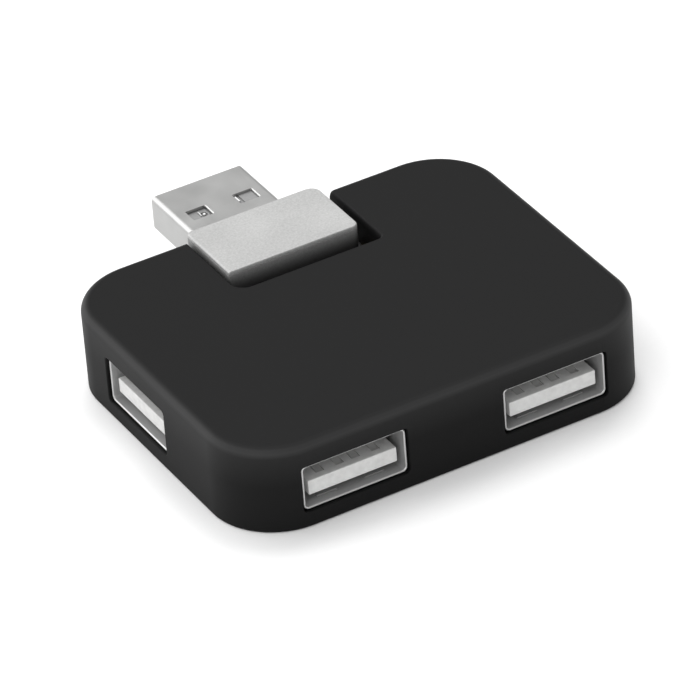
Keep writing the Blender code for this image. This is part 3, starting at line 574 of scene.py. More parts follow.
def skin(name, grid, closed_rows=False, capped=True):
    """Mesh over a (rows, columns, 3) grid whose columns close on themselves; caps close the ends."""
    rows, columns = grid.shape[:2]
    row = np.arange(rows if closed_rows else rows - 1)[:, None]
    column = np.arange(columns)[None, :]
    after, above = (column + 1) % columns, (row + 1) % rows
    this_row, next_row = row * columns, above * columns
    quads = np.stack([this_row + column, this_row + after, next_row + after, next_row + column], axis=-1)
    faces = quads.reshape(-1, 4).tolist()
    if capped and not closed_rows:
        faces.append(list(range(columns))[::-1])
        faces.append(list(range((rows - 1) * columns, rows * columns)))
    mesh = bpy.data.meshes.new(name)
    mesh.from_pydata(grid.reshape(-1, 3).tolist(), [], faces)
    return turned_out(mesh)


def turned_out(mesh):
    """Flip a closed mesh whose volume comes out negative, so that its faces point outwards."""
    mesh.calc_loop_triangles()
    corners = np.empty(len(mesh.loop_triangles) * 3, np.int32)
    mesh.loop_triangles.foreach_get("vertices", corners)
    places = np.empty(len(mesh.vertices) * 3)
    mesh.vertices.foreach_get("co", places)
    a, b, c = places.reshape(-1, 3)[corners.reshape(-1, 3)].transpose(1, 0, 2)
    if np.einsum("ij,ij->i", a, np.cross(b, c)).sum() < 0:
        mesh.flip_normals()
    return mesh


# %% Objects, cuts and joins
def new_object(mesh):
    piece = bpy.data.objects.new(mesh.name, mesh)
    bpy.context.scene.collection.objects.link(piece)
    return piece


def combine(piece, operation, meshes):
    """Boolean the meshes, one after another, into a piece, and keep only the result."""
    tools = [new_object(mesh) for mesh in meshes]
    for tool in tools:
        step = piece.modifiers.new(tool.name, "BOOLEAN")
        step.operation, step.solver, step.object = operation, "EXACT", tool
    settle(piece)
    for tool in tools:
        bpy.data.objects.remove(tool, do_unlink=True)


def settle(piece):
    """Replace a piece's mesh by what its modifiers make of it."""
    graph = bpy.context.evaluated_depsgraph_get()
    made = bpy.data.meshes.new_from_object(piece.evaluated_get(graph))
    piece.modifiers.clear()
    piece.data = made


def paint_points(piece, name, amount):
    """Store a number from 0 to 1 for each of the mesh's points, worked out from their (n, 3) places."""
    places = np.empty(len(piece.data.vertices) * 3)
    piece.data.vertices.foreach_get("co", places)
    layer = piece.data.attributes.new(name, "FLOAT", "POINT")
    values = np.clip(amount(places.reshape(-1, 3)), 0.0, 1.0)
    layer.data.foreach_set("value", values.astype(np.float32))


# %% [markdown]
# Every piece is finished in the same way. It gets its material, its sharp edges are told from its
# rounded ones by their angle, and weighted normals let the large faces decide how a corner is
# shaded. Then it is tied to the body that it moves with in the working model, and the node that it
# stands for is hidden.

# %% Finish a piece
SMOOTH_BELOW = np.radians(32.0)
FACE_WEIGHT = 100


def finish_piece(piece, node, look=None):
    """Give a finished piece its material and body from the node that it stands for, and hide that node."""
    slot = SLOT_OF[node]
    piece.data.materials.clear()
    piece.data.materials.append(FINISHES[look or slot])
    piece.data.shade_smooth()
    piece.data.set_sharp_from_angle(angle=SMOOTH_BELOW)
    weigh = piece.modifiers.new("weigh", "WEIGHTED_NORMAL")
    weigh.keep_sharp = True
    weigh.weight = FACE_WEIGHT
    settle(piece)
    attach(piece, BODY_OF[node])
    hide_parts(node)
    print(piece.name, "has", len(piece.data.polygons), "faces")


# %% [markdown]
# ## Where the ports are
#
# A port is the same assembly four times, so we model it once in its own frame: u runs across,
# d goes inwards from the rim, and h is up from the port's middle. Each port then needs only the
# place of its rim and the direction in which it goes in.


# %% Port frames
class PortFrame:
    """Place and direction of one port, read from its shell's box."""

    def __init__(self, name, inwards):
        """The box's middle and half size, taken along each of the port's own directions."""
        self.name = name
        self.inwards = np.array([*inwards, 0.0])
        self.across = np.array([inwards[1], -inwards[0], 0.0])
        low, high = (np.array(corner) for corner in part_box(name + "_shell"))
        middle, half = (low + high) / 2, (high - low) / 2
        self.rim = middle - self.inwards * abs(half @ self.inwards)
        self.width, self.length = 2 * abs(half @ self.across), 2 * abs(half @ self.inwards)
        self.height = 2 * half[2]

    def to_world(self, u, d, h):
        """Arrays of u, d and h become an array of points."""
        u, d, h = np.broadcast_arrays(u, d, h)
        up = np.array([0.0, 0.0, 1.0])
        return self.rim + u[..., None] * self.across + d[..., None] * self.inwards + h[..., None] * up

    def to_local(self, point):
        away = np.array(point) - self.rim
        return away @ self.across, away @ self.inwards, away[2]

    def local_box(self, node):
        """Lowest and highest (u, d, h) of a node."""
        ends = np.array([self.to_local(corner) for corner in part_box(node)])
        return ends.min(0), ends.max(0)


PORTS = [
    PortFrame("front_left_port", (0.0, 1.0)),
    PortFrame("front_right_port", (0.0, 1.0)),
    PortFrame("left_port", (1.0, 0.0)),
    PortFrame("right_port", (-1.0, 0.0)),
]
SHEET = 0.3 * MM
PORT_CORNER = 0.7 * MM


def along_port(port, corners, profile):
    """Grid of rings along a port: each (inset, d) pair carries the outline, drawn in u and h, inwards."""
    rows = []
    for inset, depth in profile:
        ring = outline(corners, inset)
        rows.append(port.to_world(ring[:, 0], depth, ring[:, 1]))
    return np.stack(rows)


# %% [markdown]
# ## The upper housing
#
# It is one deep moulding: a rounded slab with a notch in its back edge for the plug arm. The top
# edge is generously rounded outside and only just broken inside the notch, so each edge has its own
# share of the inset. One grid runs from the ceiling inside, down the inner wall, round the foot and
# up the outside to the top, which makes the shell a single closed skin before anything is cut.

# %% Housing dimensions from the frame
WALL = 1.4 * MM
CEILING = 1.2 * MM
BODY_CORNER = 8.2 * MM
FOOT_EDGE = 0.35 * MM
NOTCH_SHARE = 0.42
COVER_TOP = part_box("lower_cover")[1].z
STOW_TOP = COVER_TOP + 0.3 * MM

# The notch's radii: outside left, inside left, inside right, outside right.
NOTCH_CORNERS = 0.5 * MM, 1.5 * MM, 0.4 * MM, 0.9 * MM

HOUSING_CORNERS = [
    (housing_low.x, housing_low.y, BODY_CORNER, 1.0),
    (housing_high.x, housing_low.y, BODY_CORNER, 1.0),
    (housing_high.x, housing_high.y, BODY_CORNER, 1.0),
    (NOTCH_RIGHT, housing_high.y, NOTCH_CORNERS[3], NOTCH_SHARE),
    (NOTCH_RIGHT, NOTCH_FRONT, NOTCH_CORNERS[2], NOTCH_SHARE),
    (NOTCH_LEFT, NOTCH_FRONT, NOTCH_CORNERS[1], NOTCH_SHARE),
    (NOTCH_LEFT, housing_high.y, NOTCH_CORNERS[0], 1.0),
    (housing_low.x, housing_high.y, BODY_CORNER, 1.0),
]
print("the notch is", round((NOTCH_RIGHT - NOTCH_LEFT) / MM, 2), "mm wide")

# %% [markdown]
# Whatever is cut out of a piece is a closed solid too: a box, or a turned bar. A tool reaches past
# what it cuts by a fixed amount, because two faces that lie in one plane make a cut uncertain.

# %% Boxes and turned solids
PAST = 1 * MM


def box_mesh(name, low, high):
    corners = box_corners(low[0], high[0], low[1], high[1], 0.0)
    return skin(name, rings_up(corners, [(0.0, low[2]), (0.0, high[2])]))


def turned(name, stations, centre, axis="z", sides=64):
    """A turned solid: stations are (along, radius) pairs, carried round the axis."""
    along, radius = np.array(stations).T
    angle = np.linspace(0, 2 * np.pi, sides, endpoint=False)
    first = centre[0] + radius[:, None] * np.cos(angle)
    second = centre[1] + radius[:, None] * np.sin(angle)
    length = np.broadcast_to(along[:, None], first.shape)
    grid = (length, first, second) if axis == "x" else (first, second, length)
    return skin(name, np.stack(grid, axis=-1))


def round_bar(name, radius, start, end, centre, axis="z", sides=64):
    """A plain turned bar from start to end along the axis."""
    return turned(name, [(start, radius), (end, radius)], centre, axis, sides)


# %% Windows for the ports
WINDOW_GAP = 0.12 * MM
WINDOW_GAP_ABOVE = 0.03 * MM
WINDOW_GAP_BELOW = 0.09 * MM
WINDOW_CORNER = 0.4 * MM
WINDOW_LIP = 0.16 * MM


def window_cutter(port):
    """Rounded bar through the wall, flared at the mouth so that the window's edge is broken."""
    half_width, half_height = port.width / 2 + WINDOW_GAP, port.height / 2
    low, high = -half_height - WINDOW_GAP_BELOW, half_height + WINDOW_GAP_ABOVE
    corners = box_corners(-half_width, half_width, low, high, WINDOW_CORNER)
    face = -port_recess(port)
    flare = [(-drop, face + inset) for inset, drop in round_edge(WINDOW_LIP, 4)]
    profile = [(-WINDOW_LIP, face - PAST), *flare, (0.0, face + WALL + PAST)]
    return skin("window", along_port(port, corners, profile))


def port_recess(port):
    """How far a port's rim lies behind the housing's face."""
    face = housing_low if (port.inwards > 0).any() else housing_high
    return abs((port.rim - np.array(face)) @ port.inwards)


# %% Bosses and hinge holes
BOSS_RADIUS = 2.0 * MM
BOSS_FOOT = 2.5 * MM
BOSS_BREAK = 0.1 * MM
SHOULDER_RADIUS = 2.9 * MM
SHOULDER_START = 9.35 * MM
BOSS_TOP = 10.05 * MM
SCREW_BORE = 1.05 * MM
SCREW_BORE_TOP = 7.8 * MM
PIN_HOLE = 1.1 * MM
TUBE_HOLE_IN_WALL = 1.4 * MM
HOLE_REACH = 3 * MM


def hinge_holes():
    """The pin's hole in the notch's left wall, and the tube's in its right wall."""
    pin_low, pin_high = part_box("hinge_pin")
    centre = ((pin_low.y + pin_high.y) / 2, (pin_low.z + pin_high.z) / 2)
    left = round_bar("pin_hole", PIN_HOLE, NOTCH_LEFT - HOLE_REACH, arm_low.x, centre, "x")
    right = round_bar("tube_hole", TUBE_HOLE_IN_WALL, arm_high.x, NOTCH_RIGHT + HOLE_REACH, centre, "x")
    return [left, right]


def screw_places():
    for number in range(1, 5):
        low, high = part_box(f"cover_screw_{number}")
        yield (low.x + high.x) / 2, (low.y + high.y) / 2


def boss(place):
    """Screw boss hanging from the ceiling, with a shoulder that holds the board."""
    stations = [(BOSS_FOOT, BOSS_RADIUS - BOSS_BREAK), (BOSS_FOOT + BOSS_BREAK, BOSS_RADIUS),
                (SHOULDER_START, BOSS_RADIUS), (SHOULDER_START, SHOULDER_RADIUS),
                (BOSS_TOP, SHOULDER_RADIUS)]
    return turned("boss", stations, place)


# %% Build the shell and cut its openings
UNDER_MARGIN = 0.5 * MM
UNDER_EASE = 0.05 * MM
UNDER_REACH = 1.8 * MM


def housing_shell():
    """Up the inner wall from the ceiling's edge, round the foot and up the outside, as one skin."""
    flat_top = plate_profile(0.0, housing_high.z, FOOT_EDGE, TOP_EDGE, steps=12)
    outside = rings_up(HOUSING_CORNERS, flat_top, even=False)
    ceiling = housing_high.z - CEILING
    inside = rings_up(HOUSING_CORNERS, [(WALL, ceiling), (WALL, 0.0)])
    return new_object(skin("housing_shell", np.concatenate([inside, outside])))


def make_housing():
    """The way for the folding arm is cut through the front of the notch, below STOW_TOP."""
    shell = housing_shell()
    side = WALL + UNDER_MARGIN
    under = box_mesh("under_wall", (NOTCH_LEFT - side, 0.0, -PAST),
                     (NOTCH_RIGHT + side, NOTCH_FRONT, STOW_TOP))
    corners = box_mesh("under_corners", (NOTCH_LEFT + UNDER_EASE, NOTCH_FRONT - PAST, -2 * PAST),
                       (NOTCH_RIGHT - UNDER_EASE, NOTCH_FRONT + UNDER_REACH, STOW_TOP))
    combine(shell, "DIFFERENCE", [under, corners, *map(window_cutter, PORTS), *hinge_holes()])
    combine(shell, "UNION", [boss(place) for place in screw_places()])
    bores = [round_bar("bore", SCREW_BORE, 0.0, SCREW_BORE_TOP, place) for place in screw_places()]
    combine(shell, "DIFFERENCE", bores)
    finish_piece(shell, "upper_housing")


make_housing()

# %% [markdown]
# ## Small blocks, bars and strips
#
# Three more helpers cover everything else. A block is a plate with soft edges. A wall bar is a
# straight bar in any frame, used to cut slots. A strip is thin sheet bent in side view, such as a
# contact or a spring tab: its centre line is a curve of (along, up) points, and half the sheet's
# thickness is laid off on both sides of it, square to the curve.


# %% Blocks, bars and strips
def block(name, low, high, corner=0.0, edge=0.0):
    """A box with its upright corners rounded in plan and its top and bottom edges softened."""
    corners = box_corners(low[0], high[0], low[1], high[1], corner)
    profile = plate_profile(low[2], high[2], edge, edge, 4) if edge else [(0.0, low[2]), (0.0, high[2])]
    return skin(name, rings_up(corners, profile))


def strip(name, path, centre, width, thickness, to_world):
    """Sheet of a width and thickness along a side-view path, carried to its place by to_world."""
    along, up = np.array(path).T
    slope = np.stack([np.gradient(along), np.gradient(up)])
    slope = slope / np.linalg.norm(slope, axis=0)
    side = np.array([-1, 1, 1, -1]) * width / 2
    lift = np.array([-1, -1, 1, 1])[None, :] * thickness / 2
    ring_along = along[:, None] - slope[1][:, None] * lift
    ring_up = up[:, None] + slope[0][:, None] * lift
    return skin(name, to_world(centre + side[None, :], ring_along, ring_up))


def bar(name, across, along, up, to_world):
    """A straight bar between two limits in each of a frame's three directions."""
    side = np.array([across[0], across[1], across[1], across[0]])
    level = np.array([up[0], up[0], up[1], up[1]])
    return skin(name, to_world(side[None, :], np.array(along)[:, None], level[None, :]))


def smooth_curve(points, count):
    """Points along a Catmull-Rom curve through the given ones."""
    keys = np.array([points[0], *points, points[-1]], float)
    place = np.linspace(0, len(points) - 1, count)
    index = np.minimum(place.astype(int), len(points) - 2)
    t = (place - index)[:, None]
    a, b, c, d = (keys[index + shift] for shift in range(4))
    return b + 0.5 * t * (c - a + t * (2 * a - 5 * b + 4 * c - d + t * (3 * (b - c) + d - a)))


# %% [markdown]
# ## The ports
#
# Each port is a folded steel box with a fully rounded rim. Stamped tabs in its walls lean inwards
# at their free end and grip a plug, and their cut ends catch the light a little behind the rim.
# Inside stands the tongue of the insulator with four contacts, each a spring that starts low in its
# groove, bows up over the tongue and then runs back to its solder tail.

# %% Port shells
RIM_STEPS = 8
TAB_START = 1.25 * MM
TAB_ROOT = 7.6 * MM
TAB_OVERLAP = 0.4 * MM
TAB_PLACE = 3 * MM
TAB_WIDTH = 2.5 * MM
TAB_SLOT = 0.07 * MM
TAB_LIFT = 0.15 * MM
TAB_SHEET = 0.24 * MM
SLOT_LEVELS = -0.5 * MM, 0.6 * MM
SIDE_TAB_START = 4.2 * MM
SIDE_TAB_WIDTH = 1.6 * MM
DULL_SHADE_FROM = 0.12 * MM
DULL_SHADE_FADE = 0.05 * MM


def tube_section(length, sheet):
    """Closed loop of (inset, depth) pairs: outer wall, fully rounded rim, inner wall."""
    radius = sheet / 2
    turn = np.linspace(0, np.pi, RIM_STEPS + 1)
    rim = np.stack([radius * (1 - np.cos(turn)), radius * (1 - np.sin(turn))], axis=1)
    return [(0.0, length), (0.0, radius + GUARD), *rim.tolist(), (sheet, radius + GUARD), (sheet, length)]


def port_walls(port):
    """For each tab: its place along its wall, width, free end, and the wall's own frame."""
    half_width, half_height = port.width / 2, port.height / 2

    def floor(across, depth, up):
        return port.to_world(across, depth, up - half_height)

    def roof(across, depth, up):
        return port.to_world(across, depth, half_height - up)

    def left(across, depth, up):
        return port.to_world(up - half_width, depth, across)

    def right(across, depth, up):
        return port.to_world(half_width - up, depth, across)

    wide = [(side * TAB_PLACE, TAB_WIDTH, TAB_START, wall) for side in (-1, 1) for wall in (floor, roof)]
    narrow = [(0.0, SIDE_TAB_WIDTH, SIDE_TAB_START, wall) for wall in (left, right)]
    return [*wide, *narrow]


def make_port_shell(port):
    """A tab's lean grows from its root to its free end, as a power of the way along it."""
    corners = box_corners(-port.width / 2, port.width / 2, -port.height / 2, port.height / 2, PORT_CORNER)
    section = tube_section(port.length, SHEET)
    shell = new_object(skin(f"{port.name}_case", along_port(port, corners, section), closed_rows=True))
    slots, tabs = [], []
    for centre, width, start, wall in port_walls(port):
        depth = np.linspace(start, TAB_ROOT + TAB_OVERLAP, 12)
        lean = TAB_LIFT * np.clip((TAB_ROOT - depth) / (TAB_ROOT - start), 0, 1) ** 1.6
        reach = width / 2 + TAB_SLOT
        sides = (centre - reach, centre + reach)
        slots.append(bar("slot", sides, (start - TAB_SLOT, TAB_ROOT), SLOT_LEVELS, wall))
        path = np.stack([depth, SHEET / 2 + lean], axis=1)
        tabs.append(strip("tab", path, centre, width, TAB_SHEET, wall))
    combine(shell, "DIFFERENCE", slots)
    combine(shell, "UNION", tabs)
    # Painted shade inside the socket, from a little behind the rim; the sheet there is also rougher.
    paint_points(shell, "dull", lambda places: ((places - port.rim) @ port.inwards - DULL_SHADE_FROM) / DULL_SHADE_FADE)
    finish_piece(shell, f"{port.name}_shell")


# %% Port insulators
def port_block(port, name, low, high, corner, edge):
    """A bar along a port with its long corners rounded and its front edges softened."""
    corners = box_corners(low[0], high[0], low[2], high[2], corner)
    rounding = [(inset, low[1] + drop) for inset, drop in round_edge(edge, 4)][::-1]
    profile = [(edge + GUARD, low[1]), *rounding, (0.0, low[1] + edge + GUARD), (0.0, high[1])]
    return skin(name, along_port(port, corners, profile))


TONGUE_HALF = 5.55 * MM
TONGUE_LOW = -1.44 * MM
TONGUE_HIGH = 0.4 * MM
TONGUE_START = 0.5 * MM
TONGUE_CORNER, TONGUE_EDGE = 0.14 * MM, 0.10 * MM
BASE_LENGTH = 3.5 * MM
BASE_CORNER, BASE_EDGE = 0.3 * MM, 0.12 * MM
GROOVE_START = 1.4 * MM
GROOVE_DEPTH = 0.42 * MM
GROOVE_HALF = 0.52 * MM
GROOVE_OPEN = 0.1 * MM


def make_port_insulator(port):
    """A tongue on a base, with one groove for each contact along the tongue's upper side."""
    low, high = port.local_box(f"{port.name}_insulator")
    back = high[1]
    start, end = (-TONGUE_HALF, TONGUE_START, TONGUE_LOW), (TONGUE_HALF, back - PAST, TONGUE_HIGH)
    piece = new_object(port_block(port, f"{port.name}_tongue", start, end, TONGUE_CORNER, TONGUE_EDGE))
    start = (low[0], back - BASE_LENGTH, low[2])
    combine(piece, "UNION", [port_block(port, "base", start, high, BASE_CORNER, BASE_EDGE)])
    grooves = []
    for number in range(1, 5):
        centre = contact_centre(port, number)
        sides = (centre - GROOVE_HALF, centre + GROOVE_HALF)
        levels = (TONGUE_HIGH - GROOVE_DEPTH, TONGUE_HIGH + GROOVE_OPEN)
        grooves.append(bar("groove", sides, (GROOVE_START, back + PAST), levels, port.to_world))
    combine(piece, "DIFFERENCE", grooves)
    finish_piece(piece, f"{port.name}_insulator")


def contact_centre(port, number):
    low, high = port.local_box(f"{port.name}_contact_{number}")
    return (low[0] + high[0]) / 2


# %% Port contacts
CONTACT_SHEET = 0.25 * MM
NOSE_DROPS = 0.06 * MM, 0.15 * MM
NOSE_GAP = 0.08 * MM
NOSE_RISE = 0.04 * MM
CROWN_RISE = 0.05 * MM
HEEL_RISE = 0.1 * MM
SPRING_STATIONS = 2.0 * MM, 3.6 * MM, 6.2 * MM, 8.2 * MM
ELBOW = 0.3 * MM


def make_port_contact(port, number):
    """Side view: a smooth curve over nose, crown and heel, a quarter turn, then the upright tail."""
    node = f"{port.name}_contact_{number}"
    low, high = port.local_box(node)
    rest = low[2] + CONTACT_SHEET / 2
    tail = high[1] - CONTACT_SHEET / 2
    crown = TONGUE_HIGH + CROWN_RISE
    nose = TONGUE_HIGH - CONTACT_SHEET / 2 - NOSE_DROPS[(number + 1) % 2]
    levels = nose + NOSE_RISE, crown, rest + HEEL_RISE, rest
    spring = smooth_curve([(GROOVE_START + NOSE_GAP, nose), *zip(SPRING_STATIONS, levels)], 24)
    turn = np.linspace(0, np.pi / 2, 7)
    elbow = np.stack([tail - ELBOW + ELBOW * np.sin(turn), rest + ELBOW - ELBOW * np.cos(turn)], axis=1)
    path = np.vstack([spring, elbow, [(tail, high[2])]])
    centre, width = (low[0] + high[0]) / 2, high[0] - low[0]
    sheet = strip(f"{node}_spring", path, centre, width, CONTACT_SHEET, port.to_world)
    finish_piece(new_object(sheet), node)


for port in PORTS:
    make_port_shell(port)
    make_port_insulator(port)
    for contact_number in range(1, 5):
        make_port_contact(port, contact_number)

# %% [markdown]
# ## The plug
#
# The plug's shell is folded from one sheet round a former, so its long edges are rounded, and a
# seam runs along its underside. Two square windows are punched above and below. The punch rolls
# one edge of each over, and that bright edge is what makes the sheet read as thin metal.

# %% Plug shell
plug_low, plug_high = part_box("plug_shell")
PLUG_MIDDLE = (plug_low.x + plug_high.x) / 2
WINDOW_NEAR = 1.8 * MM
WINDOW_FAR = 4.3 * MM
WINDOW_BACK = plug_high.y - 7.3 * MM
WINDOW_FRONT = plug_high.y - 5.15 * MM
PLUG_CORNER = 0.62 * MM
PUNCH_CORNER = 0.12 * MM
PUNCH_EDGE = 0.22 * MM
PUNCH_SHARES = (0.1, 1.0, 0.1, 0.1)
PUNCH_OUT, PUNCH_IN = 0.5 * MM, 0.6 * MM
SEAM_HALF = 0.03 * MM
SEAM_DEPTH = 0.12 * MM


def plug_windows():
    """Four punches. Each entered the sheet askew, so one edge is rolled over and the others are crisp."""
    for side in (-1, 1):
        near, far = sorted((PLUG_MIDDLE + side * WINDOW_NEAR, PLUG_MIDDLE + side * WINDOW_FAR))
        places = box_corners(near, far, WINDOW_BACK, WINDOW_FRONT, PUNCH_CORNER)
        corners = [(*place, share) for place, share in zip(places, PUNCH_SHARES)]
        for face, out in ((plug_high.z, 1), (plug_low.z, -1)):
            rounding = [(-drop, face - out * inset) for inset, drop in round_edge(PUNCH_EDGE, 5)]
            levels = [(-PUNCH_EDGE, face + out * PUNCH_OUT), *rounding, (0.0, face - out * PUNCH_IN)]
            yield skin("punch", rings_up(corners, levels, even=False))


def make_plug_shell():
    """The rim's section is carried round the outline, drawn in X and Z, and the seam is a shallow cut."""
    corners = box_corners(plug_low.x, plug_high.x, plug_low.z, plug_high.z, PLUG_CORNER)
    rows = []
    for inset, depth in tube_section(plug_high.y - plug_low.y, SHEET):
        ring = outline(corners, inset)
        rows.append(np.column_stack([ring[:, 0], np.full(len(ring), plug_high.y - depth), ring[:, 1]]))
    shell = new_object(skin("plug_case", np.stack(rows), closed_rows=True))
    seam = block("seam", (PLUG_MIDDLE - SEAM_HALF, plug_low.y - PAST, plug_low.z - PAST),
                 (PLUG_MIDDLE + SEAM_HALF, plug_high.y + PAST, plug_low.z + SEAM_DEPTH))
    combine(shell, "DIFFERENCE", [*plug_windows(), seam])
    finish_piece(shell, "plug_shell")


make_plug_shell()


# %% [markdown]
# Through the windows one sees the insulator just under the sheet, with the small moulded marks of
# its tool: a gate stub in a round pit beside a short rib in one window, and a rib beside a pad in
# the other. The raised marks are painted near white as glints, which a point attribute tells the finish.

# %% Marks in the plug's windows
inner_low, inner_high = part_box("plug_insulator")
SEEN_TOP = plug_high.z - SHEET - 0.04 * MM
MARK_FOOT = inner_high.z - 0.3 * MM
MARK_TOP = SEEN_TOP + 0.08 * MM
MARK_EDGE = 0.03 * MM
PAD_MARGIN = 0.2 * MM
LEFT_PAD_DROP = 0.1 * MM
RIGHT_PAD_START = 2.6 * MM
PIT = (PLUG_MIDDLE - 2.5 * MM, plug_high.y - 6.2 * MM)
PIT_RADIUS = 0.45 * MM
PIT_DEPTH = 0.35 * MM
STUB = (PIT[0] - 0.03 * MM, PIT[1] - 0.18 * MM)
STUB_RADIUS = 0.2 * MM
STUB_TIP = 0.04 * MM

# Each rib: its start and width across from the plug's middle, and its two ends from the plug's tip.
RIBS = ((-3.0 * MM, 0.12 * MM, -6.5 * MM, -5.65 * MM), (2.0 * MM, 0.2 * MM, -6.4 * MM, -5.25 * MM))


def window_pads():
    """Pads that stand up to just under the sheet: the whole of one window, and part of the other."""
    pads = ((-WINDOW_FAR - PAD_MARGIN, -WINDOW_NEAR + PAD_MARGIN, LEFT_PAD_DROP),
            (RIGHT_PAD_START, WINDOW_FAR + PAD_MARGIN, 0.0))
    for start, end, drop in pads:
        low = (PLUG_MIDDLE + start, WINDOW_BACK - PAD_MARGIN, MARK_FOOT)
        high = (PLUG_MIDDLE + end, WINDOW_FRONT + PAD_MARGIN, SEEN_TOP - drop)
        yield block("pad", low, high, 0.0, MARK_EDGE)


def window_marks():
    """The stub in the pit, the short rib beside it, and the rib in the other window."""
    stub = [(MARK_FOOT, STUB_RADIUS), (SEEN_TOP, STUB_RADIUS), (MARK_TOP, 0.75 * STUB_RADIUS),
            (MARK_TOP + STUB_TIP, 0.25 * STUB_RADIUS)]
    yield turned("stub", stub, STUB, sides=24)
    for start, width, back, front in RIBS:
        low = (PLUG_MIDDLE + start, plug_high.y + back, MARK_FOOT)
        high = (PLUG_MIDDLE + start + width, plug_high.y + front, MARK_TOP)
        yield block("rib", low, high, 0.0, MARK_EDGE)


# %% Plug insulator
CONTACT_SEAT = 0.12 * MM
SEAT_END = 0.15 * MM
CORE_LENGTH_PAST_WINDOW = 1.9 * MM
CORE_ROUND = 0.1 * MM
TONGUE_STEP = 0.05 * MM
PLUG_TONGUE_CORNER, PLUG_TONGUE_EDGE = 0.25 * MM, 0.12 * MM


def make_plug_insulator():
    """A core, a slightly slimmer tongue, the marks above it and a seat for each contact below."""
    tongue_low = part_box("plug_contact_1")[0].z - CONTACT_SEAT
    core_end = (inner_high.x, WINDOW_BACK - CORE_LENGTH_PAST_WINDOW, inner_high.z)
    piece = new_object(block("plug_core", inner_low, core_end, CORE_ROUND, CORE_ROUND))
    tongue = block("tongue", (inner_low.x + TONGUE_STEP, inner_low.y + PAST, tongue_low),
                   (inner_high.x - TONGUE_STEP, inner_high.y, inner_high.z - TONGUE_STEP),
                   PLUG_TONGUE_CORNER, PLUG_TONGUE_EDGE)
    combine(piece, "UNION", [tongue, *window_pads()])
    combine(piece, "DIFFERENCE", [round_bar("pit", PIT_RADIUS, SEEN_TOP - PIT_DEPTH, SEEN_TOP + PAST, PIT)])
    combine(piece, "UNION", list(window_marks()))
    seats = []
    for number in range(1, 5):
        low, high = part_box(f"plug_contact_{number}")
        seats.append(block("seat", (low.x - CONTACT_SEAT, 0.0, tongue_low - GROOVE_OPEN),
                           (high.x + CONTACT_SEAT, high.y + SEAT_END, high.z + CONTACT_SEAT)))
    combine(piece, "DIFFERENCE", seats)
    # Raised marks get a painted glint: near white in the finish.
    raised = SEEN_TOP + 0.01 * MM
    paint_points(piece, "pale", lambda places: np.where(places[:, 2] > raised, 1.0, 0.0))
    finish_piece(piece, "plug_insulator")


# %% Plug contacts
FINGER_END = 0.3 * MM
FINGER_EDGE = 0.04 * MM


def make_plug_contact(number):
    """A flat finger whose free end is rounded in plan and chamfered, so that it slides in easily."""
    node = f"plug_contact_{number}"
    low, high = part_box(node)
    corners = [(low.x, low.y, 0.0), (high.x, low.y, 0.0),
               (high.x, high.y, FINGER_END), (low.x, high.y, FINGER_END)]
    profile = plate_profile(low.z, high.z, FINGER_EDGE, FINGER_EDGE, 3)
    finish_piece(new_object(skin(f"{node}_finger", rings_up(corners, profile))), node)


make_plug_insulator()
for contact_number in range(1, 5):
    make_plug_contact(contact_number)

# %% [markdown]
# ## The arm
#
# Arm and cap are two mouldings, painted alike. The cap is a thin plate, softly rounded on top, and
# the hairline between it and the tray shows just below its edge. The tray is hollow: a pocket holds
# the plug, a channel leads the wires to the hinge, and two knuckles are bored for pin and tube.

# %% Cap and tray
cap_low, cap_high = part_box("arm_cap")
hinge_low, hinge_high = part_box("hinge_pin")
HINGE = ((hinge_low.y + hinge_high.y) / 2, (hinge_low.z + hinge_high.z) / 2)
KNUCKLE_RADIUS = 2.0 * MM
PIN_BORE = 1.08 * MM
TUBE_HOLE = 1.38 * MM
HAIRLINE = 0.04 * MM
TRAY_FLOOR = plug_low.z - 0.75 * MM
CAP_FOOT, CAP_EDGE = 0.03 * MM, 0.3 * MM
TRAY_FOOT, TRAY_EDGE = 0.25 * MM, 0.05 * MM
KNUCKLE_BREAK = 0.15 * MM

# The arm's plan. A corner's share says how far the rounding reaches on the edge after it.
ARM_CORNERS = [
    (arm_low.x, arm_low.y, 0.2 * MM, 0.35),
    (arm_high.x, arm_low.y, 0.9 * MM, 0.7),
    (arm_high.x, arm_high.y, 1.4 * MM, 0.7),
    (arm_low.x, arm_high.y, 0.7 * MM, 1.0),
]


def make_arm_cap():
    profile = plate_profile(cap_low.z, cap_high.z, CAP_FOOT, CAP_EDGE, 8)
    finish_piece(new_object(skin("arm_plate", rings_up(ARM_CORNERS, profile, even=False))), "arm_cap")


def make_arm_tray():
    """A plate joined to a bar round the hinge's axis, with every hollow then cut out of both."""
    profile = plate_profile(TRAY_FLOOR, cap_low.z - HAIRLINE, TRAY_FOOT, TRAY_EDGE, 5)
    tray = new_object(skin("arm_tray", rings_up(ARM_CORNERS, profile)))
    face = KNUCKLE_RADIUS - KNUCKLE_BREAK
    knuckle = [(arm_low.x, face), (arm_low.x + KNUCKLE_BREAK, KNUCKLE_RADIUS),
               (arm_high.x - KNUCKLE_BREAK, KNUCKLE_RADIUS), (arm_high.x, face)]
    combine(tray, "UNION", [turned("knuckle", knuckle, HINGE, "x")])
    combine(tray, "DIFFERENCE", [*arm_rooms(), *arm_bores()])
    # The tray takes the silver with painted shade down its sides.
    finish_piece(tray, "arm_base", look="silver_paint_sides")


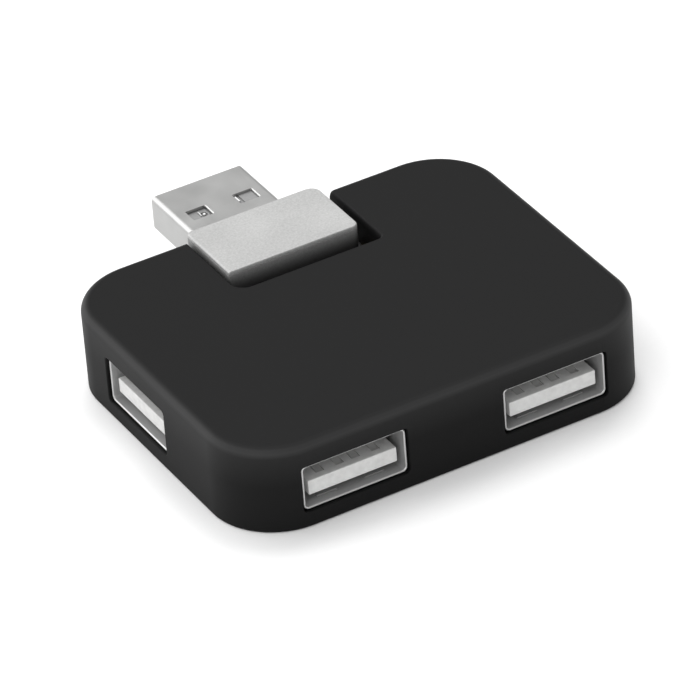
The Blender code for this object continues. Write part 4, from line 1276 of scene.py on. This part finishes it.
# %% Hollows in the tray
PLUG_GAP = 0.3 * MM
ARM_WALL = 0.85 * MM
ARM_ROOF = arm_high.z - 0.4 * MM
WIRE_ROOF = ARM_ROOF - 0.1 * MM
POCKET_START = HINGE[0] + KNUCKLE_RADIUS + 0.4 * MM
OVER_KNUCKLE = HINGE[1] + KNUCKLE_RADIUS + 0.2 * MM
WIRES_START = arm_low.y + ARM_WALL
CHANNEL = arm_low.x + 3.1 * MM, arm_high.x - 3.25 * MM
DIP_FLOOR = HINGE[1] - 1.1 * MM
DIP_END = HINGE[0] + 1.3 * MM
ROOM_OVERLAP = 0.2 * MM
PIN_BORE_DEPTH = 3.2 * MM
TUBE_BORE_DEPTH = 3.4 * MM
FAR_OUTSIDE = 1.0


def arm_rooms():
    """Plug pocket, wire space over the knuckles, channel between them, and the dip at the hinge."""
    yield block("pocket", (plug_low.x - PLUG_GAP, POCKET_START, plug_low.z - PLUG_GAP),
                (plug_high.x + PLUG_GAP, FAR_OUTSIDE, ARM_ROOF))
    yield block("wire_space", (arm_low.x + ARM_WALL, WIRES_START, OVER_KNUCKLE),
                (arm_high.x - ARM_WALL, POCKET_START + PLUG_GAP, WIRE_ROOF))
    yield block("channel", (CHANNEL[0], WIRES_START, plug_low.z - PLUG_GAP),
                (CHANNEL[1], POCKET_START + ROOM_OVERLAP, OVER_KNUCKLE + PLUG_GAP))
    yield block("dip", (CHANNEL[0], WIRES_START, DIP_FLOOR),
                (CHANNEL[1], DIP_END, OVER_KNUCKLE + ROOM_OVERLAP))


def arm_bores():
    """The pin's bore from the left and the tube's from the right."""
    yield round_bar("pin_bore", PIN_BORE, -FAR_OUTSIDE, arm_low.x + PIN_BORE_DEPTH, HINGE, "x")
    yield round_bar("tube_bore", TUBE_HOLE, arm_high.x - TUBE_BORE_DEPTH, FAR_OUTSIDE, HINGE, "x")


make_arm_cap()
make_arm_tray()


# %% [markdown]
# The hinge is a riveted pin on one side and a flanged tube on the other, through which the lead
# passes. Both are turned, so each is one profile carried round the hinge's axis.

# %% Pin
PIN_RADIUS = 1.0 * MM
PIN_COLLAR = 1.1 * MM
HEAD_RADIUS = 1.8 * MM
HEAD_LENGTH = 0.8 * MM


def make_hinge_pin():
    """From the left: a domed rivet head, the shank, and a tapered end."""
    low, high = hinge_low.x, hinge_high.x
    head = low + HEAD_LENGTH
    pin = [(low, PIN_COLLAR), (low + 0.12 * MM, 1.5 * MM), (low + 0.35 * MM, HEAD_RADIUS),
           (head, HEAD_RADIUS), (head, PIN_RADIUS), (high - 0.3 * MM, PIN_RADIUS), (high, 0.7 * MM)]
    finish_piece(new_object(turned("turned_pin", pin, HINGE, "x")), "hinge_pin")


# %% Tube and washer
TUBE_RADIUS = 1.3 * MM
TUBE_BORE = 0.95 * MM
FLANGE_RADIUS = 2.0 * MM
FLANGE_LENGTH = 0.8 * MM
TURNED_BREAK = 0.1 * MM
WASHER_RADIUS = 1.95 * MM
WASHER_BREAK = 0.08 * MM


def bored_through(piece, radius, low, high):
    """Drill a piece along the hinge's axis, from past one end to past the other."""
    combine(piece, "DIFFERENCE", [round_bar("bore", radius, low - PAST, high + PAST, HINGE, "x")])
    return piece


def make_hinge_tube():
    low, high = (corner.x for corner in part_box("hinge_tube"))
    flange, broken = high - FLANGE_LENGTH, FLANGE_RADIUS - TURNED_BREAK
    outside = [(low, TUBE_RADIUS - TURNED_BREAK), (low + TURNED_BREAK, TUBE_RADIUS),
               (flange, TUBE_RADIUS), (flange, broken), (high - TURNED_BREAK, FLANGE_RADIUS), (high, broken)]
    tube = new_object(turned("turned_tube", outside, HINGE, "x"))
    finish_piece(bored_through(tube, TUBE_BORE, low, high), "hinge_tube")


def make_friction_washer():
    low, high = (corner.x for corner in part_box("friction_washer"))
    face = WASHER_RADIUS - WASHER_BREAK
    ring = [(low, face), (low + WASHER_BREAK, WASHER_RADIUS),
            (high - WASHER_BREAK, WASHER_RADIUS), (high, face)]
    washer = new_object(turned("spring_washer", ring, HINGE, "x"))
    # The washer is coloured near black as painted shade in the notch.
    finish_piece(bored_through(washer, TUBE_HOLE, low, high), "friction_washer", look="steel_shade_dark")


make_hinge_pin()
make_hinge_tube()
make_friction_washer()

# %% [markdown]
# ## The underside
#
# The lower cover is a plate let into the housing, with a tub that takes the folded arm and plug.
# Four screws hold it. A thread is a helix, but it needs no sweep: the radius of the shank is a
# function of height and angle, raised along the line where height and angle agree.

# %% The tub
COVER_INSET = WALL + 0.3 * MM
TUB_SKIN = 0.8 * MM
TUB_GAP = 0.5 * MM
TUB_ROOF = COVER_TOP - TUB_SKIN
TUB_CORNER = 0.4 * MM
TUB_FRONT_GAP = 0.3 * MM


def folded(y):
    """Where a place along Y lies once the arm has turned half a turn about the hinge."""
    return 2 * HINGE[0] - y


ARM_END, TIP = folded(arm_high.y), folded(plug_high.y)


def tub_walls():
    """The tub's outside: a wide part for the arm and a narrower one for the plug."""
    margin = TUB_GAP + TUB_SKIN
    yield block("arm_tub", (NOTCH_LEFT - COVER_INSET, ARM_END - margin, 0.0),
                (NOTCH_RIGHT + COVER_INSET, NOTCH_FRONT - TUB_FRONT_GAP, COVER_TOP))
    yield block("plug_tub", (plug_low.x - margin, TIP - margin, 0.0),
                (plug_high.x + margin, ARM_END, COVER_TOP))


def tub_rooms():
    """The tub's inside, open at the table and at the notch."""
    yield block("arm_room", (NOTCH_LEFT, ARM_END - TUB_GAP, -PAST),
                (NOTCH_RIGHT, FAR_OUTSIDE, TUB_ROOF), TUB_CORNER)
    yield block("plug_room", (plug_low.x - TUB_GAP, TIP - TUB_GAP, -PAST),
                (plug_high.x + TUB_GAP, ARM_END, TUB_ROOF), TUB_CORNER)


# %% Ribs and screw seats
RIB_FOOT = 0.9 * MM
RIB_GAP = 0.3 * MM
RIB_PLACE = 4 * MM
RIB_HALF = 0.4 * MM
RIB_ENDS = 3.0 * MM, 11.5 * MM
PAD_RADIUS, PAD_FOOT, PAD_TOP = 2.2 * MM, 0.1 * MM, 2.2 * MM
HEAD_ROOM, HEAD_ROOM_TOP = 1.7 * MM, 1.15 * MM
MOUTH_BREAK = 0.1 * MM
SHANK_FOOT, SHANK_TOP = 1.0 * MM, 4 * MM


def port_ribs(port):
    """Two ribs under a port, from inside the cover's sheet up to just under the port's shell."""
    levels = RIB_FOOT - port.rim[2], -port.height / 2 - RIB_GAP
    for centre in (-RIB_PLACE, RIB_PLACE):
        yield bar("rib", (centre - RIB_HALF, centre + RIB_HALF), RIB_ENDS, levels, port.to_world)


def head_room(place):
    """Room for a screw's head, a little wider at its mouth."""
    mouth = HEAD_ROOM + MOUTH_BREAK
    stations = [(-PAST, mouth), (0.0, mouth), (MOUTH_BREAK, HEAD_ROOM), (HEAD_ROOM_TOP, HEAD_ROOM)]
    return turned("head_room", stations, place)


def shank_room(place):
    return round_bar("shank_room", SCREW_BORE, SHANK_FOOT, SHANK_TOP, place, sides=32)


# %% Cover
COVER_SHEET = 1.2 * MM
COVER_EDGE = 0.12 * MM


def cover_corners():
    """The housing's outline, with square corners inside the notch."""
    for x, y, radius, _ in HOUSING_CORNERS:
        yield x, y, 0.0 if NOTCH_LEFT <= x <= NOTCH_RIGHT else radius


def make_cover():
    """Plate, screw pads and tub walls are joined, then hollowed, ribbed and bored, in that order."""
    levels = plate_profile(0.0, COVER_SHEET, COVER_EDGE, COVER_EDGE, 3)
    plate = rings_up(list(cover_corners()), [(COVER_INSET + extra, z) for extra, z in levels])
    cover = new_object(skin("cover_plate", plate))
    pads = [round_bar("pad", PAD_RADIUS, PAD_FOOT, PAD_TOP, place) for place in screw_places()]
    combine(cover, "UNION", [*pads, *tub_walls()])
    combine(cover, "DIFFERENCE", list(tub_rooms()))
    combine(cover, "UNION", [rib for port in PORTS for rib in port_ribs(port)])
    combine(cover, "DIFFERENCE", [*map(head_room, screw_places()), *map(shank_room, screw_places())])
    finish_piece(cover, "lower_cover")


make_cover()

# %% Screws
THREAD_PITCH = 0.7 * MM
THREAD_DEPTH = 0.17 * MM
HEAD = 1.45 * MM
HEAD_HEIGHT = 0.8 * MM
CORE_RADIUS = 0.56 * MM
NECK_RADIUS = 0.62 * MM
SHANK_START = 0.85 * MM
POINT_LENGTH = 1.6 * MM
POINT_SHARE = 0.16
DRIVE_REACH = 0.85 * MM
DRIVE_HALF = 0.17 * MM
DRIVE_DEPTH = 0.5 * MM
DRIVE_TAPER = 0.12 * MM


def screw_skin(name, place, low, high):
    """Turned head, then a shank whose radius swells along a helix and tapers to the point."""
    head = [(0.0, 0.35 * HEAD), (0.0, 0.84 * HEAD), (0.06 * MM, 0.93 * HEAD), (0.18 * MM, HEAD),
            (0.7 * MM, HEAD), (HEAD_HEIGHT, 0.97 * HEAD), (HEAD_HEIGHT, NECK_RADIUS)]
    head_up, head_radius = np.array(head).T
    z = np.linspace(low + SHANK_START, high, 120)
    angle = np.linspace(0, 2 * np.pi, 40, endpoint=False)
    phase = (z[:, None] / THREAD_PITCH - angle[None, :] / (2 * np.pi)) % 1.0
    ridge = THREAD_DEPTH * np.clip(1 - 3.2 * np.abs(phase - 0.5), 0, 1)
    taper = np.clip((high - z) / POINT_LENGTH, POINT_SHARE, 1.0)[:, None]
    shank = (CORE_RADIUS + ridge) * taper
    radius = np.vstack([np.repeat(head_radius[:, None], len(angle), 1), shank])
    height = np.concatenate([low + head_up, z])[:, None]
    x, y = place[0] + radius * np.cos(angle), place[1] + radius * np.sin(angle)
    return skin(name, np.stack([x, y, np.broadcast_to(height, x.shape)], axis=-1))


def make_screw(number, place):
    """The drive is a cross of two slots that narrow as they go in."""
    node = f"cover_screw_{number}"
    low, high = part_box(node)
    screw = new_object(screw_skin(f"{node}_cut", place, low.z, high.z))
    narrowing = [(0.0, low.z - DRIVE_DEPTH), (0.0, low.z), (DRIVE_TAPER, low.z + DRIVE_DEPTH)]
    slots = []
    for wide, narrow in ((DRIVE_REACH, DRIVE_HALF), (DRIVE_HALF, DRIVE_REACH)):
        corners = box_corners(place[0] - wide, place[0] + wide, place[1] - narrow, place[1] + narrow, 0.0)
        slots.append(skin("drive", rings_up(corners, narrowing)))
    combine(screw, "DIFFERENCE", slots)
    finish_piece(screw, node)


for screw_number, screw_place in enumerate(list(screw_places()), start=1):
    make_screw(screw_number, screw_place)

# %% [markdown]
# ## Light and floor
#
# A product picture on white: a key light high behind, a broad one at the left that draws the bright
# lines along the metal's edges, a softer one over the front left corner, and a weak fill close to
# the table. A white surround fills the shadows. The standard view transform keeps white paper white.


# %% Floor
FLOOR_REACH = 3.0
FLOOR_GAP = 0.02 * MM
FIBRES = 1500.0


def make_floor():
    """One square of paper, a hair under the hub, so that no two faces lie in one plane."""
    square = box_corners(-FLOOR_REACH, FLOOR_REACH, -FLOOR_REACH, FLOOR_REACH, 0.0)
    mesh = bpy.data.meshes.new("floor")
    mesh.from_pydata([(x, y, 0.0) for x, y, _ in square], [], [(0, 1, 2, 3)])
    floor = new_object(mesh)
    floor.location.z = -FLOOR_GAP
    finish = Finish("white_paper")
    tone = finish.mix(finish.noise(FIBRES), grey(0.93), grey(0.95))
    mesh.materials.append(finish.surface(base_color=tone, roughness=0.9, specular_ior_level=0.0))


make_floor()


# %% Surround and lamps
SURROUND = 0.63

# Each lamp: where it stands, its two sides in metres, and its power in watts.
LAMPS = {
    "key": ((0.34, 0.46, 1.10), (0.6, 0.6), 6.5),
    "rim": ((-0.46, 0.76, 0.46), (1.2, 0.8), 6.6),
    "crest": ((-0.50, -0.30, 0.90), (0.8, 0.8), 3.0),
    "fill": ((-0.62, -0.70, 0.16), (0.9, 0.5), 1.6),
}


def make_surround(strength):
    """The same white light from every side."""
    world = bpy.data.worlds.new("surround")
    world.use_nodes = True
    background = world.node_tree.nodes["Background"]
    background.inputs["Color"].default_value = (1.0, 1.0, 1.0, 1.0)
    background.inputs["Strength"].default_value = strength
    bpy.context.scene.world = world


def make_softbox(name, place, size, watts):
    """A rectangular lamp at a place, aimed at the hub."""
    light = bpy.data.lights.new(name, "AREA")
    light.shape, light.size, light.size_y, light.energy = "RECTANGLE", size[0], size[1], watts
    lamp = bpy.data.objects.new(name, light)
    lamp.location = place
    lamp.rotation_mode = "QUATERNION"
    lamp.rotation_quaternion = (LOOK_AT - Vector(place)).to_track_quat("-Z", "Y")
    bpy.context.scene.collection.objects.link(lamp)


make_surround(SURROUND)
for lamp_name, lamp_settings in LAMPS.items():
    make_softbox(lamp_name, *lamp_settings)
bpy.context.scene.view_settings.view_transform = "Standard"
print("lamps:", len(LAMPS))
